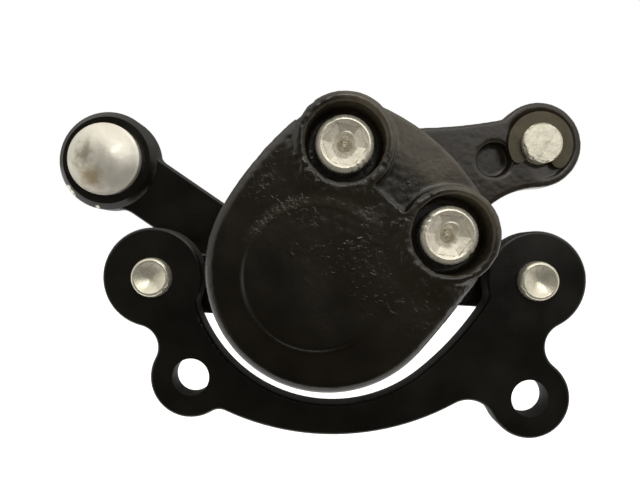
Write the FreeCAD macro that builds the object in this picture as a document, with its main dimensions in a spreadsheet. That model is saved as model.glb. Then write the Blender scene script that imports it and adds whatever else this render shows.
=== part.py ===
import FreeCAD, Part
import math
import os
import Sketcher

# A floating disc brake caliper worked by a cable.
# Frame: millimetres, X to the right along the line of the two mounting holes, Y away from the viewer, Z up.
# The origin is midway between the mounting holes, on the bracket's rear face.
# Depths are Y values: the front of the caliper has negative Y, its lever and cable lie behind.

SIZES = {
    # Mounting bracket: a flat plate with two mounting lobes below and two guide pin lobes above
    "plate_thickness": 5.0,
    "mount_hole_spacing": 68.0,
    "mount_hole_radius": 3.7,
    "mount_lobe_radius": 8.1,
    "left_pin_beyond_opening": 7.1,
    "left_pin_z": 19.45,
    "right_pin_beyond_opening": 12.3,
    "right_pin_z": 23.55,
    "pin_lobe_radius": 10.0,
    "bottom_arc_x": -8.06,
    "bottom_arc_z": 41.4,
    "bottom_arc_radius": 51.3,
    "opening_x": -7.06,
    "opening_z": 24.95,
    "opening_radius": 28.73,
    "flare_x": -28.0,
    "flare_radius": 60.0,
    "left_neck_radius": 4.5,
    "right_neck_radius": 4.9,
    "left_bottom_radius": 2.8,
    "right_bottom_radius": 5.5,
    "opening_corner_radius": 3.0,
    "plate_edge_round": 0.6,
    # Guide pins
    "guide_pin_radius": 4.0,
    "guide_pin_proud": 2.0,
    "guide_pin_head_radius": 5.5,
    "guide_pin_head_height": 1.5,
    "guide_pin_dish_radius": 3.0,
    "guide_pin_dish_depth": 1.2,
    "sliding_clearance": 0.05,
    "running_gap": 0.1,
    "seat_gap": 0.2,
    "float_inwards": 1.5,
    "float_outwards": 2.2,
    # Brake disc and pads
    "disc_plane": 11.0,
    "disc_radius": 70.0,
    "disc_edge_gap": 2.5,
    "disc_beyond_pad": 0.94,
    "disc_side_degrees": 232.56,
    "pad_gap": 4.4,
    "pad_proud": 1.0,
    "pad_radius": 11.0,
    "pad_lining_thickness": 4.0,
    "pad_plate_thickness": 2.0,
    "pad_tab_width": 6.0,
    "pad_tab_reach": 13.4,
    "lining_inset": 0.8,
    "lining_groove_width": 1.6,
    "lining_groove_depth": 2.0,
    "pad_recess_clearance": 0.25,
    "magnet_radius": 3.0,
    "magnet_thickness": 1.2,
    # Outline of the two halves: a large round about the pads and a corner round each body bolt
    "main_x": -8.2,
    "main_z": 23.7,
    "main_radius": 20.85,
    "upper_bolt_x": -6.7,
    "upper_bolt_z": 45.1,
    "upper_boss_radius": 8.55,
    "lower_bolt_x": 11.9,
    "lower_bolt_z": 30.8,
    "lower_boss_radius": 8.3,
    "left_side_radius": 58.0,
    "top_side_radius": 38.0,
    "right_side_radius": 160.0,
    "cam_axis_x": -10.0,
    "cam_axis_z": 22.5,
    # Front half
    "front_half_thickness": 11.3,
    "front_edge_round": 2.2,
    "boss_rim_height": 1.0,
    "boss_rim_round": 0.9,
    "web_drop": 3.0,
    "web_step": 2.3,
    "pad_ring_radius": 12.35,
    "pad_ring_height": 0.5,
    "pad_ring_round": 0.4,
    "counterbore_radius": 6.75,
    "counterbore_depth": 8.3,
    "bolt_hole_clearance": 0.25,
    # Body bolts, M6 socket head
    "bolt_radius": 3.0,
    "bolt_head_radius": 5.0,
    "bolt_head_height": 6.0,
    "bolt_length": 18.0,
    "bolt_socket_flats": 5.0,
    "bolt_socket_depth": 3.0,
    "bolt_head_round": 0.5,
    "bolt_hole_spare": 1.0,
    # Rear half
    "rear_half_inset": 0.75,
    "rear_slab_depth": 2.5,
    "housing_radius": 18.0,
    "housing_edge_round": 1.5,
    "back_wall": 3.0,
    "rear_boss_radius": 7.8,
    "ear_spare": 0.5,
    "ear_thickness": 7.0,
    "left_ear_below": 7.3,
    "left_ear_above": 5.3,
    "right_ear_below": 6.5,
    "right_ear_above": 6.0,
    "lug_x": 33.0,
    "lug_z": 51.0,
    "lug_radius": 8.6,
    "lug_front": 4.0,
    "lug_thickness": 5.0,
    "lug_boss_radius": 6.4,
    "lug_boss_rear": 12.0,
    "lug_neck_radius": 3.0,
    "arm_top_radius": 101.0,
    "arm_top_shift": 7.6,
    "lug_lower_radius": 16.0,
    "dimple_x": 24.3,
    "dimple_z": 47.5,
    "dimple_radius": 3.5,
    "dimple_depth": 3.0,
    # Piston, balls and cam shaft
    "piston_radius": 13.0,
    "piston_thickness": 3.4,
    "piston_key_width": 6.0,
    "piston_key_reach": 14.6,
    "keyway_clearance": 0.2,
    "ball_radius": 2.25,
    "ball_ring_radius": 7.5,
    "ball_clearance": 0.05,
    "race_gap": 1.0,
    "ramp_rise_per_radian": 4.0,
    "ramp_travel_degrees": 20.0,
    "ramp_spare_degrees": 4.0,
    "cam_disc_radius": 11.0,
    "cam_disc_thickness": 3.5,
    "thrust_washer_thickness": 1.0,
    "shaft_radius": 5.0,
    "shaft_flats": 8.0,
    "shaft_thread_radius": 4.0,
    "shaft_end": 1.0,
    "bush_wall": 1.45,
    "seal_thickness": 1.6,
    "seal_wall": 2.0,
    # Return spring
    "spring_space": 5.6,
    "spring_wire_radius": 0.6,
    "spring_coil_radius": 9.6,
    "spring_turns": 2.25,
    "spring_pitch": 1.65,
    "spring_leg": 3.6,
    "spring_bend_radius": 1.2,
    "spring_hook": 1.6,
    "spring_start_degrees": 200.0,
    "spring_hole_clearance": 0.4,
    # Lever
    "lever_thickness": 4.4,
    "lever_hub_radius": 13.7,
    "lever_arm_width": 14.0,
    "lever_eye_x": -60.2,
    "lever_eye_z": 44.7,
    "lever_eye_radius": 11.35,
    "lever_eye_front": 1.5,
    "lever_eye_rear": 0.5,
    "lever_eye_bevel": 1.3,
    "lever_upper_fillet": 3.0,
    "lever_lower_fillet": 6.0,
    "lever_edge_round": 0.6,
    "lever_washer_radius": 8.0,
    "lever_washer_thickness": 1.5,
    "lever_nut_flats": 13.0,
    "lever_nut_height": 4.5,
    # Cable clamp in the lever's eye
    "cable_behind_lever": 3.4,
    "clamp_head_radius": 8.17,
    "clamp_head_side": 2.0,
    "clamp_head_dome": 1.7,
    "clamp_pin_radius": 4.0,
    "clamp_pin_beyond_wire": 4.0,
    "wire_hole_radius": 1.1,
    "clamp_screw_radius": 2.05,
    "clamp_screw_flats": 7.0,
    "clamp_screw_head": 2.8,
    "clip_thickness": 0.8,
    "clip_groove_depth": 0.7,
    "clip_radius": 6.5,
    "clip_tip_left_x": -4.2,
    "clip_tip_right_x": 3.9,
    # Swivelling cable stop in the lug
    "stop_pin_radius": 4.0,
    "stop_pin_proud": 2.5,
    "stop_pin_chamfer": 0.5,
    "stop_barrel_radius": 6.5,
    "stop_barrel_flat": 5.5,
    "stop_barrel_beyond_cable": 5.8,
    "adjuster_radius": 3.0,
    "adjuster_tail": 8.0,
    "adjuster_head_radius": 5.0,
    "adjuster_head_length": 5.0,
    "housing_seat_radius": 2.6,
    "housing_seat_depth": 4.4,
    "locknut_flats": 10.0,
    "locknut_height": 3.0,
}


class Length:
    """A size: its number, and the formula of spreadsheet cells that gives it."""

    def __init__(self, number, formula):
        self.number = number
        self.formula = formula

    def __neg__(self):
        return Length(-self.number, "(-%s)" % self.formula)

    def __add__(self, other):
        other = as_length(other)
        return Length(self.number + other.number, "(%s + %s)" % (self.formula, other.formula))

    def __sub__(self, other):
        other = as_length(other)
        return Length(self.number - other.number, "(%s - %s)" % (self.formula, other.formula))

    def __mul__(self, other):
        other = as_length(other)
        return Length(self.number * other.number, "(%s * %s)" % (self.formula, other.formula))

    def __truediv__(self, other):
        other = as_length(other)
        return Length(self.number / other.number, "(%s / %s)" % (self.formula, other.formula))


def as_length(value):
    if isinstance(value, Length):
        return value
    return Length(float(value), "(%r)" % float(value))


class SizeCells:
    """Gives each size of the spreadsheet by its name."""

    def __getattr__(self, alias):
        return Length(float(sheet.get(alias)), "Sizes." + alias)


s = SizeCells()
ZERO = as_length(0)

doc = FreeCAD.newDocument("caliper")
sheet = doc.addObject("Spreadsheet::Sheet", "Sizes")
for row, (alias, number) in enumerate(SIZES.items(), start=1):
    sheet.set("A%d" % row, alias)
    sheet.set("B%d" % row, str(number))
    sheet.setAlias("B%d" % row, alias)
doc.recompute()

nodes = []
cuts = []


# Depths along Y, worked out from the brake disc outwards and from the piston backwards

fixed_pad_face = -s.disc_plane - s.pad_gap / 2
fixed_lining_back = fixed_pad_face - s.pad_lining_thickness
fixed_plate_back = fixed_lining_back - s.pad_plate_thickness
front_half_inner = fixed_pad_face - s.pad_proud
front_half_plateau = front_half_inner - s.front_half_thickness
boss_rim = front_half_plateau - s.boss_rim_height
web_face = front_half_plateau + s.web_drop
bolt_seat = boss_rim + s.counterbore_depth
bolt_tip = bolt_seat + s.bolt_length

moving_pad_face = -s.disc_plane + s.pad_gap / 2
slot_face = moving_pad_face + s.pad_proud
moving_lining_back = moving_pad_face + s.pad_lining_thickness
piston_front = moving_lining_back + s.pad_plate_thickness
piston_rear = piston_front + s.piston_thickness
cam_front = piston_rear + s.race_gap
ball_centre = piston_rear + s.race_gap / 2
cam_rear = cam_front + s.cam_disc_thickness
thrust_front = cam_rear + s.running_gap
back_wall_inner = thrust_front + s.thrust_washer_thickness
housing_rear = back_wall_inner + s.back_wall
lever_front = housing_rear + s.spring_space
rear_boss_end = lever_front - s.seat_gap
lever_rear = lever_front + s.lever_thickness
eye_front = lever_front - s.lever_eye_front
eye_rear = lever_rear + s.lever_eye_rear
washer_rear = lever_rear + s.lever_washer_thickness
nut_rear = washer_rear + s.lever_nut_height
cable_depth = lever_rear + s.cable_behind_lever
ear_front = s.float_inwards + s.ear_spare
ear_rear = ear_front + s.ear_thickness
pin_head_front = ear_rear + s.float_outwards + s.seat_gap
lug_rear = s.lug_thickness - s.lug_front

# The guide pins stand beside the bracket's opening, and the brake disc's edge just covers the pads

left_pin_x = s.opening_x - s.opening_radius - s.left_pin_beyond_opening
right_pin_x = s.opening_x + s.opening_radius + s.right_pin_beyond_opening
disc_reach = s.disc_radius - s.disc_beyond_pad - s.pad_radius
disc_centre_x = s.cam_axis_x + disc_reach * math.cos(math.radians(s.disc_side_degrees.number))
disc_centre_z = s.cam_axis_z + disc_reach * math.sin(math.radians(s.disc_side_degrees.number))


# Sketch helpers

def bind(item, name, length):
    item.setExpression(name, as_length(length).formula)


def new_body(label, x=None, z=None, y=None, tilt=None):
    """A body whose own Y axis may stand at x, z, and whose X axis may be raised by the angle tilt."""
    body = doc.addObject("PartDesign::Body", "Body_" + label)
    body.Label = label
    if tilt is not None:
        body.Placement.Rotation = FreeCAD.Rotation(FreeCAD.Vector(0, -1, 0), tilt.number)
        body.setExpression("Placement.Rotation.Angle", tilt.formula)
    for name, length in (("x", x), ("y", y), ("z", z)):
        if length is not None:
            bind(body, "Placement.Base." + name, length)
    return body


def origin_plane(body, role):
    for feature in body.Origin.OriginFeatures:
        if feature.Role == role:
            return feature
    raise ValueError(role)


def cross_sketch(body, name, depth):
    """A sketch square to Y, at the given depth; its normal points at the viewer, towards -Y."""
    sketch = body.newObject("Sketcher::SketchObject", name)
    sketch.AttachmentSupport = [(origin_plane(body, "XZ_Plane"), "")]
    sketch.MapMode = "FlatFace"
    bind(sketch, "AttachmentOffset.Base.z", -as_length(depth))
    return sketch


def side_sketch(body, name):
    """A sketch in the body's XY plane, for profiles that turn about its X or Y axis."""
    sketch = body.newObject("Sketcher::SketchObject", name)
    sketch.AttachmentSupport = [(origin_plane(body, "XY_Plane"), "")]
    sketch.MapMode = "FlatFace"
    return sketch


def drive(sketch, kind, refs, length):
    length = as_length(length)
    index = sketch.addConstraint(Sketcher.Constraint(kind, *refs, length.number))
    sketch.setExpression("Constraints[%d]" % index, length.formula)


def pin_point(sketch, geometry, position, across=None, up=None):
    """Hold a point of a sketch at a driven distance from the origin."""
    if across is not None:
        drive(sketch, "DistanceX", (-1, 1, geometry, position), across)
    if up is not None:
        drive(sketch, "DistanceY", (-1, 1, geometry, position), up)


def add_circle(sketch, across, up, radius):
    centre = FreeCAD.Vector(as_length(across).number, as_length(up).number, 0)
    index = sketch.addGeometry(Part.Circle(centre, FreeCAD.Vector(0, 0, 1), radius.number))
    pin_point(sketch, index, 3, across, up)
    drive(sketch, "Radius", (index,), radius)


def add_polygon(sketch, corners):
    corners = [(as_length(across), as_length(up)) for across, up in corners]
    points = [FreeCAD.Vector(across.number, up.number, 0) for across, up in corners]
    first = sketch.GeometryCount
    count = len(points)
    for i in range(count):
        sketch.addGeometry(Part.LineSegment(points[i], points[(i + 1) % count]))
    for i in range(count):
        sketch.addConstraint(Sketcher.Constraint("Coincident", first + i, 2, first + (i + 1) % count, 1))
    for i, (across, up) in enumerate(corners):
        pin_point(sketch, first + i, 1, across, up)


def add_rectangle(sketch, left, right, low, high):
    add_polygon(sketch, [(left, low), (right, low), (right, high), (left, high)])


def add_hexagon(sketch, across, up, flats):
    corner = flats * (1 / math.sqrt(3))
    corners = []
    for k in range(6):
        angle = math.radians(60 * k)
        corners.append((across + corner * math.cos(angle), up + corner * math.sin(angle)))
    add_polygon(sketch, corners)


class Bend:
    """One arc of a smooth closed outline. Bends with a centre are placed; the others join their neighbours.

    turn is 1 where the outline is convex and -1 where it is hollow, as it runs anticlockwise.
    side says on which side of the line between its neighbours' centres a joining arc has its own centre.
    """

    def __init__(self, radius, turn, x=None, z=None, side=None, pins="xzr"):
        self.radius = as_length(radius)
        self.turn = turn
        self.x = x
        self.z = z
        self.side = side if side is not None else turn
        self.pins = pins if x is not None else "r"

    def signed(self):
        return self.turn * self.radius.number


def joining_centre(before, after, bend):
    """Centre of an arc that touches both neighbours and runs the way of the outline."""
    x1, z1 = before.centre
    x2, z2 = after.centre
    reach1 = abs(bend.signed() - before.signed())
    reach2 = abs(bend.signed() - after.signed())
    span = math.hypot(x2 - x1, z2 - z1)
    ux = (x2 - x1) / span
    uz = (z2 - z1) / span
    along = (span ** 2 + reach1 ** 2 - reach2 ** 2) / (2 * span)
    aside = math.sqrt(reach1 ** 2 - along ** 2) * bend.side
    return (x1 + along * ux - aside * uz, z1 + along * uz + aside * ux)


def add_outline(sketch, bends):
    """A closed outline of arcs that run smoothly into each other."""
    count = len(bends)
    for bend in bends:
        if bend.x is not None:
            bend.centre = (as_length(bend.x).number, as_length(bend.z).number)
    for i, bend in enumerate(bends):
        if bend.x is None:
            bend.centre = joining_centre(bends[i - 1], bends[(i + 1) % count], bend)
    normals = []
    for i, bend in enumerate(bends):
        after = bends[(i + 1) % count]
        gap = bend.signed() - after.signed()
        across = after.centre[0] - bend.centre[0]
        up = after.centre[1] - bend.centre[1]
        normals.append((across / gap, up / gap))
    first = sketch.GeometryCount
    for i, bend in enumerate(bends):
        start = math.atan2(bend.turn * normals[i - 1][1], bend.turn * normals[i - 1][0])
        end = math.atan2(bend.turn * normals[i][1], bend.turn * normals[i][0])
        if bend.turn < 0:
            start, end = end, start
        if end <= start:
            end += 2 * math.pi
        centre = FreeCAD.Vector(bend.centre[0], bend.centre[1], 0)
        circle = Part.Circle(centre, FreeCAD.Vector(0, 0, 1), bend.radius.number)
        sketch.addGeometry(Part.ArcOfCircle(circle, start, end))
    for i, bend in enumerate(bends):
        if "x" in bend.pins:
            pin_point(sketch, first + i, 3, across=bend.x)
        if "z" in bend.pins:
            pin_point(sketch, first + i, 3, up=bend.z)
        if "r" in bend.pins:
            drive(sketch, "Radius", (first + i,), bend.radius)
    for i, bend in enumerate(bends):
        j = (i + 1) % count
        leaves = 2 if bend.turn > 0 else 1
        enters = 1 if bends[j].turn > 0 else 2
        sketch.addConstraint(Sketcher.Constraint("Tangent", first + i, leaves, first + j, enters))


# Feature helpers

def pad(body, sketch, front, rear):
    """Material from the sketch at depth rear, forwards to depth front."""
    feature = body.newObject("PartDesign::Pad", "Pad_" + sketch.Name)
    feature.Profile = sketch
    bind(feature, "Length", rear - front)
    doc.recompute()
    return feature


def pocket(body, sketch, front, rear):
    """A cut from the sketch at depth front, backwards to depth rear."""
    feature = body.newObject("PartDesign::Pocket", "Pocket_" + sketch.Name)
    feature.Profile = sketch
    bind(feature, "Length", rear - front)
    doc.recompute()
    cuts.append(feature)
    return feature


def round_pad(body, name, x, z, radius, front, rear):
    sketch = cross_sketch(body, name, rear)
    add_circle(sketch, x, z, radius)
    return pad(body, sketch, as_length(front), as_length(rear))


def round_pocket(body, name, x, z, radius, front, rear):
    sketch = cross_sketch(body, name, front)
    add_circle(sketch, x, z, radius)
    return pocket(body, sketch, as_length(front), as_length(rear))


def turned(body, name, corners, axis="V_Axis"):
    """A profile turned about the body's Y axis; with the H_Axis, about its X axis."""
    sketch = side_sketch(body, name)
    add_polygon(sketch, corners)
    feature = body.newObject("PartDesign::Revolution", "Turned_" + name)
    feature.Profile = sketch
    feature.ReferenceAxis = (sketch, [axis])
    feature.Angle = 360
    doc.recompute()
    return feature


def ring(label, x, z, inner, outer, front, rear):
    """A plain washer, bush or disc on an axis along Y."""
    body = new_body(label, x, z)
    turned(body, "Section_" + label, [(inner, front), (outer, front), (outer, rear), (inner, rear)])
    nodes.append(body)
    return body


def round_edges(body, base, edge_names, radius, kind="Fillet"):
    feature = body.newObject("PartDesign::" + kind, kind + "_" + base.Name)
    feature.Base = (base, edge_names)
    bind(feature, "Radius" if kind == "Fillet" else "Size", radius)
    doc.recompute()
    return feature


def edges_at_depth(feature, depth, centre=None):
    """Names of the edges that lie wholly at one depth; with a centre, only circles about it."""
    level = as_length(depth).number
    names = []
    for i, edge in enumerate(feature.Shape.Edges, start=1):
        box = edge.BoundBox
        flat = abs(box.YMin - level) < 1e-4 and abs(box.YMax - level) < 1e-4
        about = centre is None or math.hypot(box.Center.x - centre[0], box.Center.z - centre[1]) < 1e-3
        if flat and about:
            names.append("Edge%d" % i)
    return names


def edges_along_depth(feature, x, z, reach):
    """Names of the straight edges parallel to Y within reach of a point."""
    names = []
    for i, edge in enumerate(feature.Shape.Edges, start=1):
        box = edge.BoundBox
        upright = box.XLength < 1e-3 and box.ZLength < 1e-3 and box.YLength > 1e-3
        if upright and math.hypot(box.XMin - x, box.ZMin - z) < reach:
            names.append("Edge%d" % i)
    return names


# Mounting bracket

def make_bracket():
    body = new_body("mounting_bracket")
    half = s.mount_hole_spacing / 2
    outline = cross_sketch(body, "BracketOutline", ZERO)
    add_outline(outline, [
        Bend(s.bottom_arc_radius, 1, s.bottom_arc_x, s.bottom_arc_z),
        Bend(s.right_bottom_radius, -1),
        Bend(s.mount_lobe_radius, 1, half, ZERO),
        Bend(s.right_neck_radius, -1),
        Bend(s.pin_lobe_radius, 1, right_pin_x, s.right_pin_z),
        Bend(s.opening_corner_radius, -1, side=1),
        Bend(s.flare_radius, -1, s.flare_x, flare_height(), pins="xr"),
        Bend(s.opening_radius, -1, s.opening_x, s.opening_z),
        Bend(s.opening_corner_radius, -1, side=1),
        Bend(s.pin_lobe_radius, 1, left_pin_x, s.left_pin_z),
        Bend(s.left_neck_radius, -1),
        Bend(s.mount_lobe_radius, 1, -half, ZERO),
        Bend(s.left_bottom_radius, -1),
    ])
    plate = pad(body, outline, -s.plate_thickness, ZERO)
    round_edges(body, plate, edges_at_depth(plate, -s.plate_thickness), s.plate_edge_round)
    holes = cross_sketch(body, "BracketHoles", -s.plate_thickness)
    add_circle(holes, -half, ZERO, s.mount_hole_radius)
    add_circle(holes, half, ZERO, s.mount_hole_radius)
    add_circle(holes, left_pin_x, s.left_pin_z, s.guide_pin_radius)
    add_circle(holes, right_pin_x, s.right_pin_z, s.guide_pin_radius)
    pocket(body, holes, -s.plate_thickness, ZERO)
    nodes.append(body)


def flare_height():
    """Height of the flare's centre: its arc runs smoothly on from the opening's arc."""
    reach = s.flare_radius.number - s.opening_radius.number
    across = s.flare_x.number - s.opening_x.number
    return as_length(s.opening_z.number + math.sqrt(reach ** 2 - across ** 2))


def make_guide_pin(label, x, z):
    """A pin riveted through the plate, with a dished front end and a flat head behind the ear."""
    body = new_body(label, x, z)
    front = -s.plate_thickness - s.guide_pin_proud
    head_rear = pin_head_front + s.guide_pin_head_height
    turned(body, "Section_" + label, [
        (ZERO, front + s.guide_pin_dish_depth),
        (s.guide_pin_dish_radius, front),
        (s.guide_pin_radius, front),
        (s.guide_pin_radius, pin_head_front),
        (s.guide_pin_head_radius, pin_head_front),
        (s.guide_pin_head_radius, head_rear),
        (ZERO, head_rear),
    ])
    nodes.append(body)


# The outline that the two halves share

def half_outline(sketch, inset):
    add_outline(sketch, [
        Bend(s.main_radius - inset, 1, s.main_x, s.main_z),
        Bend(s.right_side_radius - inset, 1),
        Bend(s.lower_boss_radius - inset, 1, s.lower_bolt_x, s.lower_bolt_z),
        Bend(s.top_side_radius - inset, 1),
        Bend(s.upper_boss_radius - inset, 1, s.upper_bolt_x, s.upper_bolt_z),
        Bend(s.left_side_radius - inset, 1),
    ])


def pad_slot_sketch(body, name, depth, radius, width, reach):
    """A downward slot in the wall round a pad or the piston."""
    sketch = cross_sketch(body, name, depth)
    x = s.cam_axis_x
    z = s.cam_axis_z
    add_rectangle(sketch, x - width / 2, x + width / 2, z - reach, z - radius / 2)
    return sketch


def make_front_half():
    body = new_body("front_half")
    outline = cross_sketch(body, "FrontOutline", front_half_inner)
    half_outline(outline, ZERO)
    block = pad(body, outline, front_half_plateau, front_half_inner)
    round_edges(body, block, edges_at_depth(block, front_half_plateau), s.front_edge_round)

    # The low web between the two bolts, beyond a step beside the line through the bolts
    along_x = s.lower_bolt_x - s.upper_bolt_x
    along_z = s.lower_bolt_z - s.upper_bolt_z
    spacing = math.hypot(along_x.number, along_z.number)
    unit_x = along_x.number / spacing
    unit_z = along_z.number / spacing
    web = cross_sketch(body, "WebStep", front_half_plateau)
    step_x = s.web_step * unit_z
    step_z = s.web_step * unit_x
    near_upper = (s.upper_bolt_x - along_x + step_x, s.upper_bolt_z - along_z - step_z)
    near_lower = (s.lower_bolt_x + along_x + step_x, s.lower_bolt_z + along_z - step_z)
    far_lower = (near_lower[0] - along_z, near_lower[1] + along_x)
    far_upper = (near_upper[0] - along_z, near_upper[1] + along_x)
    add_polygon(web, [near_upper, near_lower, far_lower, far_upper])
    pocket(body, web, front_half_plateau, web_face)

    bolts = (
        ("Upper", s.upper_bolt_x, s.upper_bolt_z, s.upper_boss_radius),
        ("Lower", s.lower_bolt_x, s.lower_bolt_z, s.lower_boss_radius),
    )
    for name, x, z, radius in bolts:
        boss = round_pad(body, name + "Boss", x, z, radius, boss_rim, front_half_inner)
        rim = edges_at_depth(boss, boss_rim, (x.number, z.number))
        round_edges(body, boss, rim, s.boss_rim_round)
    ring_top = front_half_plateau - s.pad_ring_height
    pad_ring = round_pad(body, "PadRing", s.cam_axis_x, s.cam_axis_z, s.pad_ring_radius,
                         ring_top, front_half_plateau)
    round_edges(body, pad_ring, edges_at_depth(pad_ring, ring_top), s.pad_ring_round)
    for name, x, z, radius in bolts:
        round_pocket(body, name + "Counterbore", x, z, s.counterbore_radius, boss_rim, bolt_seat)
        round_pocket(body, name + "BoltHole", x, z, s.bolt_radius + s.bolt_hole_clearance,
                     bolt_seat, front_half_inner)

    # The recess that holds the fixed pad, cut from the inner face forwards
    recess = cross_sketch(body, "PadRecess", fixed_plate_back)
    add_circle(recess, s.cam_axis_x, s.cam_axis_z, s.pad_radius + s.pad_recess_clearance)
    pocket(body, recess, fixed_plate_back, front_half_inner)
    tab = pad_slot_sketch(body, "PadTabRecess", fixed_plate_back, s.pad_radius,
                          s.pad_tab_width + s.keyway_clearance * 2,
                          s.pad_tab_reach + s.pad_recess_clearance)
    pocket(body, tab, fixed_plate_back, front_half_inner)
    round_pocket(body, "MagnetRecess", s.cam_axis_x, s.cam_axis_z, s.magnet_radius,
                 fixed_plate_back - s.magnet_thickness, fixed_plate_back)
    nodes.append(body)


def make_body_bolt(label, x, z):
    body = new_body(label, x, z)
    head_front = bolt_seat - s.bolt_head_height
    screw = turned(body, "Section_" + label, [
        (ZERO, head_front),
        (s.bolt_head_radius, head_front),
        (s.bolt_head_radius, bolt_seat),
        (s.bolt_radius, bolt_seat),
        (s.bolt_radius, bolt_tip),
        (ZERO, bolt_tip),
    ])
    round_edges(body, screw, edges_at_depth(screw, head_front), s.bolt_head_round)
    socket = cross_sketch(body, "Socket_" + label, head_front)
    add_hexagon(socket, ZERO, ZERO, s.bolt_socket_flats)
    pocket(body, socket, head_front, head_front + s.bolt_socket_depth)
    nodes.append(body)


# Rear half

def add_ear(body, name, pin_x, pin_z, below, above):
    round_pad(body, name + "Eye", pin_x, pin_z, below, ear_front, ear_rear)
    arm = cross_sketch(body, name + "Arm", ear_rear)
    add_rectangle(arm, s.cam_axis_x, pin_x, pin_z - below, pin_z + above)
    pad(body, arm, ear_front, ear_rear)


def make_rear_half():
    body = new_body("rear_half")
    outline = cross_sketch(body, "RearOutline", s.rear_slab_depth)
    half_outline(outline, s.rear_half_inset)
    pad(body, outline, front_half_inner, s.rear_slab_depth)
    housing = round_pad(body, "Housing", s.cam_axis_x, s.cam_axis_z, s.housing_radius,
                        slot_face, housing_rear)
    round_edges(body, housing, edges_at_depth(housing, housing_rear), s.housing_edge_round)
    add_ear(body, "LeftEar", left_pin_x, s.left_pin_z, s.left_ear_below, s.left_ear_above)
    add_ear(body, "RightEar", right_pin_x, s.right_pin_z, s.right_ear_below, s.right_ear_above)
    lug = cross_sketch(body, "Lug", lug_rear)
    boss_radius = s.upper_boss_radius - s.rear_half_inset
    top_reach = boss_radius.number + s.arm_top_radius.number
    top_height = s.upper_bolt_z.number + math.sqrt(top_reach ** 2 - s.arm_top_shift.number ** 2)
    add_outline(lug, [
        Bend(s.lug_radius, 1, s.lug_x, s.lug_z),
        Bend(s.lug_neck_radius, -1, side=1),
        Bend(s.arm_top_radius, -1, s.upper_bolt_x + s.arm_top_shift, top_height, pins="xr"),
        Bend(boss_radius, 1, s.upper_bolt_x, s.upper_bolt_z),
        Bend(s.left_side_radius, 1),
        Bend(s.lower_boss_radius - s.rear_half_inset, 1, s.lower_bolt_x, s.lower_bolt_z),
        Bend(s.lug_lower_radius, -1),
    ])
    pad(body, lug, -s.lug_front, lug_rear)
    round_pad(body, "LugBoss", s.lug_x, s.lug_z, s.lug_boss_radius, -s.lug_front, s.lug_boss_rear)
    round_pad(body, "RearBoss", s.cam_axis_x, s.cam_axis_z, s.rear_boss_radius,
              back_wall_inner, rear_boss_end)

    # The slot that the brake disc runs in ends in an arc about the disc's centre
    disc_slot = cross_sketch(body, "DiscSlot", front_half_inner)
    add_circle(disc_slot, disc_centre_x, disc_centre_z, s.disc_radius + s.disc_edge_gap)
    pocket(body, disc_slot, front_half_inner, slot_face)

    round_pocket(body, "PistonBore", s.cam_axis_x, s.cam_axis_z, s.piston_radius + s.sliding_clearance,
                 slot_face, back_wall_inner)
    keyway = pad_slot_sketch(body, "Keyway", slot_face, s.piston_radius,
                             s.piston_key_width + s.keyway_clearance * 2,
                             s.piston_key_reach + s.keyway_clearance)
    pocket(body, keyway, slot_face, piston_rear + s.seat_gap)
    bush_outer = s.shaft_radius + s.sliding_clearance + s.bush_wall
    round_pocket(body, "BushBore", s.cam_axis_x, s.cam_axis_z, bush_outer, back_wall_inner, rear_boss_end)
    round_pocket(body, "SealSeat", s.cam_axis_x, s.cam_axis_z, s.shaft_radius + s.seal_wall,
                 rear_boss_end - s.seal_thickness, rear_boss_end)
    bolt_bore = s.bolt_radius + s.sliding_clearance
    round_pocket(body, "UpperThread", s.upper_bolt_x, s.upper_bolt_z, bolt_bore,
                 front_half_inner, bolt_tip + s.bolt_hole_spare)
    round_pocket(body, "LowerThread", s.lower_bolt_x, s.lower_bolt_z, bolt_bore,
                 front_half_inner, bolt_tip + s.bolt_hole_spare)
    ear_bore = s.guide_pin_radius + s.sliding_clearance
    round_pocket(body, "LeftEarBore", left_pin_x, s.left_pin_z, ear_bore, ear_front, ear_rear)
    round_pocket(body, "RightEarBore", right_pin_x, s.right_pin_z, ear_bore, ear_front, ear_rear)
    round_pocket(body, "LugBore", s.lug_x, s.lug_z, s.stop_pin_radius + s.sliding_clearance,
                 -s.lug_front, s.lug_boss_rear)
    round_pocket(body, "Dimple", s.dimple_x, s.dimple_z, s.dimple_radius,
                 -s.lug_front, -s.lug_front + s.dimple_depth)
    spring_x, spring_z = spring_foot(s.spring_start_degrees.number, -1)
    round_pocket(body, "SpringHole", spring_x, spring_z, s.spring_wire_radius + s.spring_hole_clearance,
                 housing_rear - s.spring_hook - s.seat_gap, housing_rear)
    nodes.append(body)


# Pads

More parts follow.
